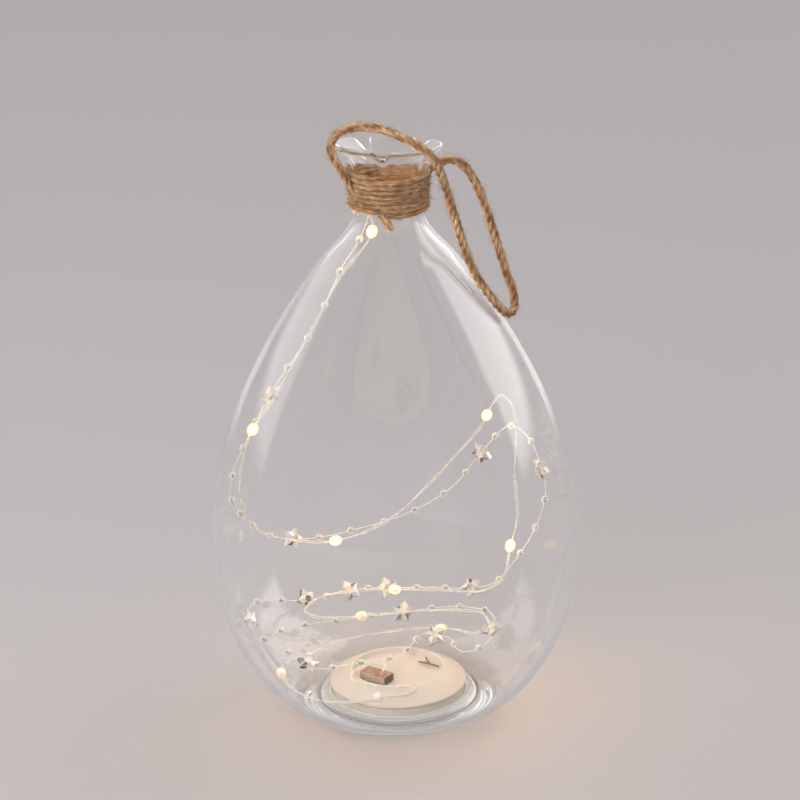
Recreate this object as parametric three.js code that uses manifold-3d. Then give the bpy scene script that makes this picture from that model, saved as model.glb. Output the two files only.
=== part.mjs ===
// A glass jar light: a drop-shaped clear glass jar with a five-lobed mouth, a neck wound with
// jute twine, a jute rope handle, a battery unit set into its base from below, and two strings
// inside: a light wire with ten small lights and a line moulded with beads and glass stars.
// Millimetres, +Z up, origin on the jar's axis at the foot, the viewer on the -Y side.
import * as THREE from "three";
import { mergeVertices } from "three/addons/utils/BufferGeometryUtils.js";
import Module from "manifold-3d";

const wasm = await Module();
wasm.setup();

// Clearance between pieces that touch, and between pieces that slide on each other
const GAP = 0.3;

// Glass jar
const GLASS = 2.2;
const FOOT_LAND = 2;
const BELLY_R = 80;
const BELLY_Z = 83;
const SHOULDER_R = 27.2;
const SHOULDER_BELOW_NECK = 19.6;
const SHOULDER_LEAN = 0.65;
const NECK_R = 14.5;
const NECK_Z = 227.6;
const NECK_FLARE = 1.2;
const LIP_RISE = 10.6;
const LIP_FLARE = 7.3;
const LIP_LOBES = 5;
const NOTCH_AZIMUTH = 263;
const NOTCH_HALF_ANGLE = 8.5;
const NOTCH_DROP = 3.8;
const NOTCH_IN = 4.5;
const LIP_SAG = 4.5;
const LIP_SAG_AZIMUTH = 75;

// How far along the belly's curves the handles that round them reach
const BASE_SPREAD = 0.75;
const BASE_RISE = 0.145;
const BELLY_DOWN = 0.42;
const BELLY_UP = 0.32;
const SHOULDER_DOWN = 0.39;

// The glass round the hole in the jar's base, and the recess under it
const HOLE_WALL = 2.6;
const RECESS_DEPTH = 4;

// Twine wound round the neck
const TWINE_D = 1.6;
const TWINE_SPACE = 0.48;
const TWINE_TURNS = 8;
const TWINE_START = 252;

// Rope handle
const ROPE_D = 3.7;

// Battery unit: a ring at the bottom, a housing above it and a seal between it and the glass
const UNIT_LIFT = 0.9;
const RING_T = 1.5;
const SEAL_T = 1;
const FLANGE = 2.9;
const HOUSING_WALL = 1.6;
const BARREL_PLAY = 0.2;
const RIM_OVER = 0.8;
const RIM_Z = 11;
const RIM_H = 0.9;
const CREST_R = 21;
const CREST_RISE = 2.2;
const CREST_W = 1;
const DISH_R = 19.6;
const ROOF_T = 1.2;

// Cells and contacts
const CELL_D = 10.5;
const CELL_L = 43.6;
const NUB_D = 3.8;
const NUB_L = 0.9;
const CELL_SPACE = 0.7;
const CELLS_Y = 1;
const SPRING_WIRE = 0.5;
const SPRING_L = 4.1;
const SPRING_BASE_D = 7;
const SPRING_TIP_D = 4.6;
const SPRING_TURNS = 3;
const PLATE_T = 0.4;
const PLATE_H = 6.8;
const END_WALL_T = 1;

// Battery cover with its two bayonet lugs
const COVER_LEDGE = 4.7;
const COVER_SUNK = 0.5;
const LUG_REACH = 1.5;
const LUG_T = 1;
const LUG_ARC = 14;
const LUG_AZIMUTH = 133;
const UNLOCK_TURN = 20;
const COIN_SLOT = [14, 2.2, 0.6];

// Circuit board, switch and their parts
const BOARD_T = 1;
const BOARD_W = 20;
const BOARD_Y = [-21, -11];
const TONGUE_W = 9.6;
const TONGUE_PAST = 0.7;
const POST_R = 1.3;
const POST_X = 7.6;
const POST_Y = -18.6;
const CHIP = [5, 4, 1.4];
const CRYSTAL = [2, 6];
const SWITCH = [8, 2.5, 1.4];
const SWITCH_FROM_WALL = 2.1;
const KNOB_W = 1.8;
const KNOB_D = 1.3;
const SWITCH_TRAVEL = 3;

// Wire block on the dish, and the window under it that its leads rise through
const BLOCK = [13.6, 7, 3.6];
const BLOCK_AT = [-9.5, -9];
const BLOCK_TURN = -36;
const WINDOW = [4, 2.2];
const WINDOW_AT = [-8.6, -12.3];
const LEAD_D = 0.9;
const LEAD_PITCH = 1.8;

// Dark joint of two thin wires that lies at the right of the dish
const JOINT_D = 1.1;

// Strings
const WIRE_D = 0.8;
const WIRE_STEP = 12;
const LIGHT_D = 4.6;
const LIGHT_L = 6;
const LIGHT_SPARE = 0.7;
const LINE_D = 0.5;
const BEAD_D = 3.3;
const BEAD_PITCH = 15.5;
const STAR_TIP_R = 5.4;
const STAR_NOTCH_R = 3.3;
const STAR_EDGE = 1.6;
const STAR_T = 4.8;
const FREE_STAR_FACES_Y = -60;
const STAR_FACES_Y = -15;

// Faces round a turned piece
const ROUND_SIDES = 40;
const CELL_SIDES = 16;
const SMALL_SIDES = 12;

const deg = THREE.MathUtils.degToRad;
const v3 = (x, y, z) => new THREE.Vector3(x, y, z);
const v2 = (x, y) => new THREE.Vector2(x, y);

// Materials as the photograph shows them
const finish = (color, roughness, metalness = 0) =>
  new THREE.MeshStandardMaterial({ color, roughness, metalness });
const clearGlass = finish(0xe6eef0, 0.04);
clearGlass.transparent = true;
clearGlass.opacity = 0.3;
const jute = finish(0xa5845f, 0.95);
const whitePlastic = finish(0xeeebe4, 0.35);
const silicone = finish(0xd8dad8, 0.6);
const steel = finish(0xc8c8c8, 0.3, 1);
const jacket = finish(0x3c6e54, 0.35);
const boardGreen = finish(0x2f6b45, 0.5);
const blackPlastic = finish(0x26262a, 0.5);
const brownBoard = finish(0xa07a5c, 0.6);
const redPlastic = finish(0xb03028, 0.45);
const silverWire = finish(0xd9d4c8, 0.25, 1);
const clearBead = finish(0xe8ecf2, 0.05);
const crystal = finish(0xdfe6f2, 0.05);
const lamp = finish(0xfff0d0, 0.2);
lamp.emissive = new THREE.Color(0xffd9a0);

// The radius of a hole with flat sides that stays one clearance away from a round piece in it
const apart = (radius, sides) => (radius + GAP) / Math.cos(Math.PI / sides);

// A closed mesh whose corners are shared, without faces that have shrunk to a line
function welded(geometry) {
  const bare = new THREE.BufferGeometry();
  bare.setAttribute("position", geometry.attributes.position.clone());
  if (geometry.index) {
    bare.setIndex(geometry.index.clone());
  }
  const merged = mergeVertices(bare, 1e-4);
  const kept = [];
  const index = merged.index.array;
  for (let i = 0; i < index.length; i += 3) {
    const [a, b, c] = index.slice(i, i + 3);
    if (a !== b && b !== c && c !== a) {
      kept.push(a, b, c);
    }
  }
  merged.setIndex(kept);
  return merged;
}

function solid(geometry) {
  const mesh = welded(geometry);
  return new wasm.Manifold(new wasm.Mesh({
    numProp: 3,
    vertProperties: Float32Array.from(mesh.attributes.position.array),
    triVerts: Uint32Array.from(mesh.index.array),
  }));
}

function shapeOf(manifold) {
  const mesh = manifold.getMesh();
  const geometry = new THREE.BufferGeometry();
  geometry.setAttribute("position", new THREE.BufferAttribute(mesh.vertProperties, 3));
  geometry.setIndex(new THREE.BufferAttribute(mesh.triVerts, 1));
  return geometry;
}

// A turned piece: its outline in radius and height, anticlockwise, turned about Z; all start at
// one azimuth, so that the facets of neighbours lie side by side
function turned(outline, sides, startAzimuth = NOTCH_AZIMUTH) {
  const geometry = new THREE.LatheGeometry(outline, sides, deg(startAzimuth + 90));
  geometry.rotateX(Math.PI / 2);
  return geometry;
}

function rod(radius, z0, z1, x = 0, y = 0, sides = SMALL_SIDES) {
  const outline = [v2(0, z0), v2(radius, z0), v2(radius, z1), v2(0, z1)];
  return turned(outline, sides).translate(x, y, 0);
}

function block(x0, x1, y0, y1, z0, z1) {
  const geometry = new THREE.BoxGeometry(x1 - x0, y1 - y0, z1 - z0);
  return geometry.translate((x0 + x1) / 2, (y0 + y1) / 2, (z0 + z1) / 2);
}

// A flat outline in X and Y, made thick from z0 to z1
function slab(points, z0, z1) {
  const shape = new THREE.Shape(points.map(([x, y]) => v2(x, y)));
  const geometry = new THREE.ExtrudeGeometry(shape, { depth: z1 - z0, bevelEnabled: false });
  return geometry.translate(0, 0, z0);
}

// A piece of a ring between two radii and two azimuths
function sector(r0, r1, a0, a1, z0, z1, steps = 4) {
  const points = [];
  for (let i = 0; i <= steps; i++) {
    const a = deg(a0 + ((a1 - a0) * i) / steps);
    points.push([r1 * Math.cos(a), r1 * Math.sin(a)]);
  }
  for (let i = steps; i >= 0; i--) {
    const a = deg(a0 + ((a1 - a0) * i) / steps);
    points.push([r0 * Math.cos(a), r0 * Math.sin(a)]);
  }
  return slab(points, z0, z1);
}

// A round cord: a section with eight sides drawn along a smooth path
function cord(path, diameter, steps) {
  const section = new THREE.Shape();
  for (let i = 0; i < 8; i++) {
    const a = (i * Math.PI) / 4;
    section[i ? "lineTo" : "moveTo"]((diameter / 2) * Math.cos(a), (diameter / 2) * Math.sin(a));
  }
  return new THREE.ExtrudeGeometry(section, { steps, extrudePath: path, bevelEnabled: false });
}

function smooth(points) {
  const curve = new THREE.CatmullRomCurve3(points.map((p) => v3(...p)), false, "centripetal");
  curve.arcLengthDivisions = 1200;
  return curve;
}

// A tube whose radius changes from ring to ring, for windings, springs and beaded line
function ringTube(rings, sides) {
  const positions = [];
  const index = [];
  const count = rings.length;
  const along = rings.map((ring, i) => {
    const before = rings[Math.max(i - 1, 0)].at;
    const after = rings[Math.min(i + 1, count - 1)].at;
    return after.clone().sub(before).normalize();
  });
  let side = v3(0.31, 0.17, 0.94).cross(along[0]).normalize();
  rings.forEach(({ at, radius }, i) => {
    side = side.clone().addScaledVector(along[i], -side.dot(along[i])).normalize();
    const other = along[i].clone().cross(side);
    for (let k = 0; k < sides; k++) {
      const a = (k * 2 * Math.PI) / sides;
      const p = at.clone().addScaledVector(side, radius * Math.cos(a));
      p.addScaledVector(other, radius * Math.sin(a));
      positions.push(p.x, p.y, p.z);
    }
  });
  for (let i = 0; i < count - 1; i++) {
    for (let k = 0; k < sides; k++) {
      const a = i * sides + k;
      const b = i * sides + ((k + 1) % sides);
      index.push(a, b, b + sides, a, b + sides, a + sides);
    }
  }
  for (let k = 1; k < sides - 1; k++) {
    const last = (count - 1) * sides;
    index.push(0, k + 1, k, last, last + k, last + k + 1);
  }
  const geometry = new THREE.BufferGeometry();
  geometry.setAttribute("position", new THREE.Float32BufferAttribute(positions, 3));
  geometry.setIndex(index);
  return geometry;
}

const model = new THREE.Group();
const add = (name, geometry, material) => {
  const mesh = new THREE.Mesh(welded(geometry), material);
  mesh.name = name;
  model.add(mesh);
  return mesh;
};

// The battery unit sets the size of the jar's base: the two cells and their contacts lie between
// two end walls, these fit in a round barrel, and the barrel stands in the hole of the glass
const cellEnd = (CELL_L + NUB_L + SPRING_L + 3 * GAP) / 2;
const cellPitch = CELL_D + CELL_SPACE;
const endWallX = cellEnd + PLATE_T + GAP;
const endWallY = cellPitch / 2 + 1.9;
const barrelIn = Math.hypot(endWallX + END_WALL_T, CELLS_Y + endWallY) + BARREL_PLAY;
const barrelR = barrelIn + HOUSING_WALL;
const rimR = barrelR + RIM_OVER;
const holeR = barrelR + GAP + SEAL_T + GAP;
const ringOuter = holeR - GAP + FLANGE;
const recessR = ringOuter + 2 * GAP;
const footInner = recessR + 0.2;
const footR = footInner + FOOT_LAND;
const coverR = barrelR - COVER_LEDGE;
const switchY = SWITCH_FROM_WALL - barrelIn;

// Glass jar: the outer curve from foot to lip
const neckH = TWINE_TURNS * (TWINE_D + TWINE_SPACE) + TWINE_D;
const neckTopR = NECK_R + NECK_FLARE;
const lipZ = NECK_Z + neckH;
const lipR = neckTopR + LIP_FLARE;
const shoulder = v2(SHOULDER_R, NECK_Z - SHOULDER_BELOW_NECK);
const lean = v2(-Math.sin(SHOULDER_LEAN), Math.cos(SHOULDER_LEAN));
const upperRise = shoulder.y - BELLY_Z;

function bodyCurve() {
  const lower = new THREE.CubicBezierCurve(
    v2(footR, 0),
    v2(footR + BASE_SPREAD * (BELLY_R - footR), BASE_RISE * BELLY_Z),
    v2(BELLY_R, (1 - BELLY_DOWN) * BELLY_Z),
    v2(BELLY_R, BELLY_Z),
  );
  const upper = new THREE.CubicBezierCurve(
    v2(BELLY_R, BELLY_Z),
    v2(BELLY_R, BELLY_Z + BELLY_UP * upperRise),
    shoulder.clone().addScaledVector(lean, -SHOULDER_DOWN * upperRise),
    shoulder,
  );
  const throat = new THREE.CubicBezierCurve(
    shoulder,
    shoulder.clone().addScaledVector(lean, 0.15 * SHOULDER_BELOW_NECK),
    v2(NECK_R, NECK_Z - 0.42 * SHOULDER_BELOW_NECK),
    v2(NECK_R, NECK_Z),
  );
  return [...lower.getPoints(10), ...upper.getPoints(11).slice(1), ...throat.getPoints(4).slice(1)];
}

// The neck widens a little under the twine, and then flares into the lip
const neckOuter = (z) => NECK_R + NECK_FLARE * ((z - NECK_Z) / neckH);
const neckCurve = [v2(neckTopR, lipZ)];
const lipCurve = new THREE.QuadraticBezierCurve(
  v2(neckTopR, lipZ),
  v2(neckTopR + 0.2 * LIP_FLARE, lipZ + 0.6 * LIP_RISE),
  v2(lipR, lipZ + LIP_RISE),
).getPoints(4).slice(1);

// The same curve again, one glass thickness further in
function inset(points, by) {
  return points.map((p, i) => {
    const before = points[Math.max(i - 1, 0)];
    const after = points[Math.min(i + 1, points.length - 1)];
    const t = after.clone().sub(before).normalize();
    return v2(p.x - by * t.y, p.y + by * t.x);
  });
}

const outerCurve = [...bodyCurve(), ...neckCurve, ...lipCurve];
const holeTop = RECESS_DEPTH + HOLE_WALL;
const innerCurve = inset(outerCurve, GLASS).filter((p) => p.y > holeTop + 0.6);
const rimTop = v2(lipR - 0.75 * GLASS, lipZ + LIP_RISE + 0.5 * GLASS);

function jar() {
  const outline = [
    v2(footInner, 0),
    ...outerCurve,
    rimTop,
    ...innerCurve.reverse(),
    v2(holeR, holeTop),
    v2(holeR, RECESS_DEPTH),
    v2(recessR, RECESS_DEPTH),
    v2(footInner, 0),
  ];
  const geometry = turned(outline, ROUND_SIDES);
  // The lip is pinched in and down at each notch, which leaves round lobes between the notches, and
  // the soft glass has sagged at the back right
  const at = geometry.attributes.position;
  for (let i = 0; i < at.count; i++) {
    const lift = (at.getZ(i) - lipZ) / LIP_RISE;
    if (lift > 0) {
      const azimuth = Math.atan2(at.getY(i), at.getX(i)) - deg(NOTCH_AZIMUTH);
      const fromNotch = Math.asin(Math.sin((LIP_LOBES / 2) * azimuth)) / (LIP_LOBES / 2);
      const pinch = Math.exp(-((fromNotch / deg(NOTCH_HALF_ANGLE)) ** 4));
      const fromSag = Math.atan2(at.getY(i), at.getX(i)) - deg(LIP_SAG_AZIMUTH);
      const drop = NOTCH_DROP * pinch + (LIP_SAG / 2) * (1 + Math.cos(fromSag));
      const r = Math.hypot(at.getX(i), at.getY(i));
      const pulled = (r - NOTCH_IN * pinch * lift ** 1.4) / r;
      at.setXYZ(i, at.getX(i) * pulled, at.getY(i) * pulled, at.getZ(i) - drop * lift);
    }
  }
  return geometry;
}
add("glass_jar", jar(), clearGlass);

// Twine round the neck, one unbroken length whose ends run straight for one diameter
function twine() {
  const perTurn = 24;
  const pitch = TWINE_D + TWINE_SPACE;
  const centres = [];
  for (let i = 0; i <= TWINE_TURNS * perTurn; i++) {
    const z = NECK_Z + TWINE_D / 2 + (i / perTurn) * pitch;
    const a = deg(TWINE_START) + (i / perTurn) * 2 * Math.PI;
    const r = apart(neckOuter(z + TWINE_D / 2), perTurn) + TWINE_D / 2;
    centres.push(v3(r * Math.cos(a), r * Math.sin(a), z));
  }
  let least = Infinity;
  for (let i = 0; i < centres.length; i++) {
    for (let k = i + perTurn / 2; k < centres.length; k++) {
      least = Math.min(least, centres[i].distanceTo(centres[k]) - TWINE_D);
    }
  }
  console.log(`neck twine: ${TWINE_TURNS} turns, least gap to itself ${least.toFixed(2)} mm`);
  const run = (from, to) => to.clone().addScaledVector(to.clone().sub(from).normalize(), TWINE_D);
  const first = run(centres[1], centres[0]);
  const last = run(centres.at(-2), centres.at(-1));
  const rings = [first, ...centres, last].map((at) => ({ at, radius: TWINE_D / 2 }));
  return ringTube(rings, 6);
}
add("neck_twine", twine(), jute);

// Rope handle: from the twine's left side, over the mouth, down to rest on the shoulder at the
// right, and up again to the right of the twine
const ropeRoute = [
  [-17.8, -8.9, 243.6], [-19.4, -8.3, 246.8], [-21.6, -6.6, 250.4], [-23.4, -4, 254],
  [-23, -1.4, 257.6], [-19.8, 0.6, 260.6], [-14.6, 1.2, 262.2], [-8.5, -0.2, 263],
  [-1, -5.4, 262.8], [6, -13.2, 261.8], [13.6, -20.6, 259.4], [19.2, -22, 254.4],
  [22, -19.6, 247], [24.8, -15.6, 237], [28, -12.4, 225], [31.6, -10.6, 212],
  [36.6, -10.4, 199.6], [42.6, -9, 190], [47, -5.6, 183.6], [50, -1.6, 180.4],
  [52.4, 2.2, 181.4], [52.4, 4.6, 187], [48.8, 6.4, 198], [45, 7.6, 211], [40.8, 8.6, 225],
  [36.6, 9.2, 235.6], [32, 9.4, 242.6], [27, 9, 245.6], [22.4, 8, 245], [18.6, 6.8, 242.8],
];
const ropePath = smooth(ropeRoute);
add("rope_handle", cord(ropePath, ROPE_D, 44), jute);

// Battery unit: the levels from the table up
const ringTop = UNIT_LIFT + RING_T;
const unitZ = ringTop + GAP;
const coverTop = ringTop - COVER_SUNK;
const cellZ = coverTop + GAP + CELL_D / 2;
const roofZ = cellZ + CELL_D / 2 + GAP;
const dishZ = roofZ + ROOF_T;
const crestZ = dishZ + CREST_RISE;

function seal() {
  const sealIn = barrelR + GAP;
  return turned([
    v2(sealIn, unitZ),
    v2(ringOuter, unitZ),
    v2(ringOuter, unitZ + SEAL_T),
    v2(holeR - GAP, unitZ + SEAL_T),
    v2(holeR - GAP, holeTop - GAP),
    v2(sealIn, holeTop - GAP),
    v2(sealIn, unitZ),
  ], ROUND_SIDES);
}
add("base_seal", seal(), silicone);

// Bottom ring: holds the cover's lugs, and has the switch's slot
const coverHoleR = apart(coverR, ROUND_SIDES);
const lugR = coverR + LUG_REACH;
const lugAzimuths = [LUG_AZIMUTH, LUG_AZIMUTH + 180];
const knobX = -SWITCH_TRAVEL / 2;

function bottomRing() {
  const blank = turned([
    v2(0, UNIT_LIFT),
    v2(ringOuter, UNIT_LIFT),
    v2(ringOuter, ringTop),
    v2(0, ringTop),
  ], ROUND_SIDES);
  let ring = solid(blank);
  ring = ring.subtract(solid(rod(coverHoleR, 0, RECESS_DEPTH, 0, CELLS_Y, ROUND_SIDES)));
  for (const azimuth of lugAzimuths) {
    const from = azimuth - UNLOCK_TURN - LUG_ARC / 2 - 2;
    const notch = sector(coverR - 4, lugR + GAP, from, from + LUG_ARC + 4, 0, RECESS_DEPTH);
    ring = ring.subtract(solid(notch.translate(0, CELLS_Y, 0)));
  }
  const slotEnd = (SWITCH_TRAVEL + KNOB_W) / 2 + GAP;
  const slotSide = KNOB_D / 2 + GAP;
  ring = ring.subtract(solid(
    block(-slotEnd, slotEnd, switchY - slotSide, switchY + slotSide, 0, RECESS_DEPTH),
  ));
  return shapeOf(ring);
}
add("bottom_ring", bottomRing(), whitePlastic);

// Housing: a cup with a sloped rim and a round dish on top, and the walls that hold the contacts
const boardZ = unitZ + SWITCH[2] + GAP;
const boardTop = boardZ + BOARD_T;

function housingOutline(inner) {
  const slope = (crestZ - RIM_Z) / (rimR - CREST_R);
  const under = (r) => RIM_Z + (rimR - r) * slope - 1.25 * HOUSING_WALL;
  const hollow = [
    v2(DISH_R - 0.1, roofZ),
    v2(CREST_R - 0.1, dishZ),
    v2(CREST_R + 1, Math.min(under(CREST_R + 1), dishZ)),
    v2(barrelIn, under(barrelIn)),
    v2(barrelIn, unitZ),
  ];
  return [
    v2(0, roofZ),
    ...(inner ? hollow : [v2(barrelR - 0.5, roofZ - 3), v2(barrelR - 0.5, unitZ)]),
    v2(barrelR, unitZ),
    v2(barrelR, RIM_Z - RIM_H - RIM_OVER),
    v2(rimR, RIM_Z - RIM_H),
    v2(rimR, RIM_Z),
    v2(CREST_R, crestZ),
    v2(CREST_R - CREST_W, crestZ),
    v2(DISH_R, dishZ),
    v2(0, dishZ),
  ];
}

function housing() {
  let cup = solid(turned(housingOutline(true), ROUND_SIDES));
  const wallTop = dishZ - 0.5;
  const inside = solid(turned([
    v2(0, 0),
    v2(barrelIn + 0.6, 0),
    v2(barrelIn + 0.6, roofZ - 1.6),
    v2(CREST_R, wallTop),
    v2(0, wallTop),
  ], ROUND_SIDES));
  for (const side of [-1, 1]) {
    const x = [side * endWallX, side * (endWallX + END_WALL_T)].sort((a, b) => a - b);
    const wall = block(x[0], x[1], CELLS_Y - endWallY, CELLS_Y + endWallY, unitZ + LUG_T + 0.6, wallTop);
    cup = cup.add(solid(wall).intersect(inside));
    cup = cup.add(solid(rod(POST_R, boardTop + GAP, wallTop, side * POST_X, POST_Y)).intersect(inside));
  }
  // Each cell lies in a round bay where the slope comes down to it
  for (const side of [-1, 1]) {
    const bay = rod(apart(CELL_D / 2, CELL_SIDES), -cellEnd, cellEnd, 0, 0, CELL_SIDES);
    const y = CELLS_Y + (side * cellPitch) / 2;
    cup = cup.subtract(solid(bay.rotateY(Math.PI / 2).translate(0, y, cellZ)));
  }
  const [wx, wy] = WINDOW_AT;
  const [ww, wd] = WINDOW;
  cup = cup.subtract(solid(
    block(wx - ww / 2, wx + ww / 2, wy - wd / 2, wy + wd / 2, roofZ - 1, dishZ + 1),
  ));
  return shapeOf(cup);
}
add("battery_housing", housing(), whitePlastic);

// Cells, one each way round, with a spring at each flat end
function cell() {
  return turned([
    v2(0, 0),
    v2(CELL_D / 2 - 0.4, 0),
    v2(CELL_D / 2, 0.4),
    v2(CELL_D / 2, CELL_L - 0.4),
    v2(CELL_D / 2 - 0.4, CELL_L),
    v2(NUB_D / 2, CELL_L),
    v2(NUB_D / 2, CELL_L + NUB_L),
    v2(0, CELL_L + NUB_L),
  ], CELL_SIDES);
}

function spring() {
  const rings = [];
  const perTurn = 8;
  const rise = SPRING_L - SPRING_WIRE;
  const count = SPRING_TURNS * perTurn;
  for (let i = 0; i <= count; i++) {
    const r = THREE.MathUtils.lerp(SPRING_BASE_D, SPRING_TIP_D, i / count) / 2;
    const a = (i / perTurn) * 2 * Math.PI;
    const at = v3(r * Math.cos(a), r * Math.sin(a), SPRING_WIRE / 2 + (rise * i) / count);
    rings.push({ at, radius: SPRING_WIRE / 2 });
  }
  return ringTube(rings, 5);
}

[-1, 1].forEach((side, i) => {
  const y = CELLS_Y + (side * cellPitch) / 2;
  const battery = add(`battery_${i + 1}`, cell(), jacket);
  battery.rotation.y = (side * Math.PI) / 2;
  battery.position.set(-side * (cellEnd - 2 * GAP - SPRING_L), y, cellZ);
  const coil = add(`contact_spring_${i + 1}`, spring(), steel);
  coil.rotation.y = (side * Math.PI) / 2;
  coil.position.set(-side * (cellEnd - GAP), y, cellZ);
});

// Contact plates: one bridges both cells at the right, one serves each cell at the left
function plate(x, y0, y1) {
  return block(x, x + PLATE_T, y0, y1, cellZ - PLATE_H / 2, cellZ + PLATE_H / 2);
}
const plateY = endWallY - 0.2;
add("bridge_plate", plate(cellEnd, CELLS_Y - plateY, CELLS_Y + plateY), steel);
add("plate_negative", plate(-cellEnd - PLATE_T, CELLS_Y + 0.8, CELLS_Y + plateY), steel);
add("plate_positive", plate(-cellEnd - PLATE_T, CELLS_Y - plateY, CELLS_Y - 0.8), steel);

// Cover: a disc with a coin slot below and two lugs above the bottom ring
function cover() {
  let disc = solid(rod(coverR, UNIT_LIFT, coverTop, 0, 0, ROUND_SIDES));
  for (const azimuth of lugAzimuths) {
    const from = azimuth - LUG_ARC / 2;
    const stem = sector(coverR - 2, coverR, from, from + LUG_ARC, UNIT_LIFT + 0.4, unitZ + LUG_T);
    const lug = sector(coverR - 1.5, lugR, from, from + LUG_ARC, unitZ, unitZ + LUG_T);
    disc = disc.add(solid(stem)).add(solid(lug));
  }
  const [length, width, depth] = COIN_SLOT;
  disc = disc.subtract(solid(block(-length / 2, length / 2, -width / 2, width / 2, 0, UNIT_LIFT + depth)));
  return shapeOf(disc.translate([0, CELLS_Y, 0]));
}
add("battery_cover", cover(), whitePlastic);

// Circuit board with its timer chip and crystal, and the switch on its underside
const boardHalf = BOARD_W / 2;
const tongueHalf = TONGUE_W / 2;
const tongueY = switchY - TONGUE_PAST;
add("circuit_board", slab([
  [-boardHalf, BOARD_Y[1]], [-boardHalf, BOARD_Y[0]], [-tongueHalf, BOARD_Y[0]],
  [-tongueHalf, tongueY], [tongueHalf, tongueY], [tongueHalf, BOARD_Y[0]],
  [boardHalf, BOARD_Y[0]], [boardHalf, BOARD_Y[1]],
], boardZ, boardTop), boardGreen);
const chipY = (BOARD_Y[0] + BOARD_Y[1]) / 2;
const [chipW, chipD, chipH] = CHIP;
const partZ = boardTop + GAP;
add("timer_chip", block(0.6, 0.6 + chipW, chipY - chipD / 2, chipY + chipD / 2, partZ, partZ + chipH),
  blackPlastic);
const [crystalR, crystalL] = [CRYSTAL[0] / 2, CRYSTAL[1]];
const crystalCan = rod(crystalR, 0, crystalL, 0, 0, 8).rotateY(Math.PI / 2);
add("timer_crystal", crystalCan.translate(-tongueHalf, BOARD_Y[0] - crystalR, partZ + crystalR), steel);
const [switchW, switchD] = SWITCH;
add("switch_body", block(
  -switchW / 2, switchW / 2, switchY - switchD / 2, switchY + switchD / 2, unitZ, boardZ - GAP,
), blackPlastic);
add("switch_knob", block(
  knobX - KNOB_W / 2, knobX + KNOB_W / 2, switchY - KNOB_D / 2, switchY + KNOB_D / 2, UNIT_LIFT, ringTop,
), blackPlastic);

// Wire block on the dish, and two leads that rise through the window into its underside
const [blockW, blockD, blockH] = BLOCK;
const [blockX, blockY] = BLOCK_AT;
const blockZ = dishZ + GAP;
const wireBlock = block(-blockW / 2, blockW / 2, -blockD / 2, blockD / 2, blockZ, blockZ + blockH);
add("wire_block", wireBlock.rotateZ(deg(BLOCK_TURN)).translate(blockX, blockY, 0), brownBoard);
const leads = [["lead_positive", 1, redPlastic], ["lead_negative", -1, blackPlastic]];
leads.forEach(([name, side, material]) => {
  const x = WINDOW_AT[0] + (side * LEAD_PITCH) / 2;
  const y = WINDOW_AT[1];
  const from = boardTop + GAP;
  const to = blockZ - GAP;
  const path = smooth([
    [x, y - 1.4, from],
    [x, y - 1.4, from + 1.2],
    [x, y - 0.6, (from + to) / 2],
    [x, y, to - 1.4],
    [x, y, to],
  ]);
  add(name, cord(path, LEAD_D, 10), material);
});

// The dark joint at the right of the dish: one piece shaped like a Y
function joint() {
  const z = dishZ + JOINT_D;
  const stem = [[18, 1.2, z], [15.2, 3.4, z], [12.2, 5.4, z], [9.2, 6.8, z]];
  const arm = [[14.4, 4, z], [13.2, 7.2, z], [12.6, 10.8, z]];
  const [a, b] = [stem, arm].map((route) => solid(cord(smooth(route), JOINT_D, 6)));
  return shapeOf(a.add(b));
}
add("wire_joint", joint(), blackPlastic);

// Light wire: from the wire block, over the housing, round the bottom of the jar, up the back of
// the glass, down the left side and into the neck
const wireRoute = [
  [-7, -10.4, 18.8], [-5.6, -8.6, 20.4], [-7.2, -6.8, 21.4], [-12, -6.2, 20.8],
  [-17.6, -8.4, 19.6], [-20.8, -12.2, 18], [-18.8, -16.2, 17.2], [-13, -19.2, 17.1],
  [-7.6, -21, 17.1], [-1, -22, 17.1], [4.4, -22.1, 17.2], [6.8, -23.8, 16.6],
  [4.8, -25.8, 15.8], [0, -27, 15.2], [-9, -27.8, 14.8], [-22, -28.6, 13], [-36, -25, 12.6],
  [-47, -17, 14.6],
  [-52, -6, 17], [-50.4, 8, 14.8], [-42, 21, 12.8], [-26, 34, 13.6], [-8, 41, 14], [10, 43, 15],
  [26, 39, 16], [36, 31.6, 17.4], [41.4, 31.2, 22], [39, 37, 24.6], [27, 44, 23.4],
  [10, 49, 21], [-8, 48.4, 20], [-24, 44, 21], [-36, 37.4, 24], [-42, 36, 28], [-36, 44, 30.4],
  [-21, 52.4, 30], [0, 55.4, 29], [20, 52.6, 29.6], [39, 43, 33], [49, 38, 42], [52, 41.6, 55],
  [55.4, 40.4, 70], [54.4, 42, 90], [55, 36.4, 114], [52.6, 30.4, 128], [49, 33.4, 131],
  [45.4, 42.4, 124.6], [39, 53.6, 108], [29, 62, 92.6], [14, 67.4, 74], [-1, 67.6, 60],
  [-16, 64, 53.6], [-32, 57.4, 52.6], [-47, 48.6, 57.6], [-58.6, 36, 66], [-65.4, 21, 79.4],
  [-67.6, 9.6, 95], [-66.4, 4, 110], [-60.6, 1, 129], [-51.4, 0.6, 142.6], [-41, 0, 161.4],
  [-30, 0, 181], [-20.6, 0, 198.4], [-9, 0, 213], [-6.8, 0, 221], [-9.6, 0, 230],
  [-11.2, 0, 240],
];
const wirePath = smooth(wireRoute);
const lightPlaces = [
  [-7.4, 0, 217.6], [-60, 1, 130], [-28, 60, 52], [42, 49, 117], [52, 42, 55],
  [-1, 55, 29], [-16, 47, 20], [20, 41.6, 15.4], [-52, -6, 17], [-9, -27.8, 14.8],
];

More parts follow.
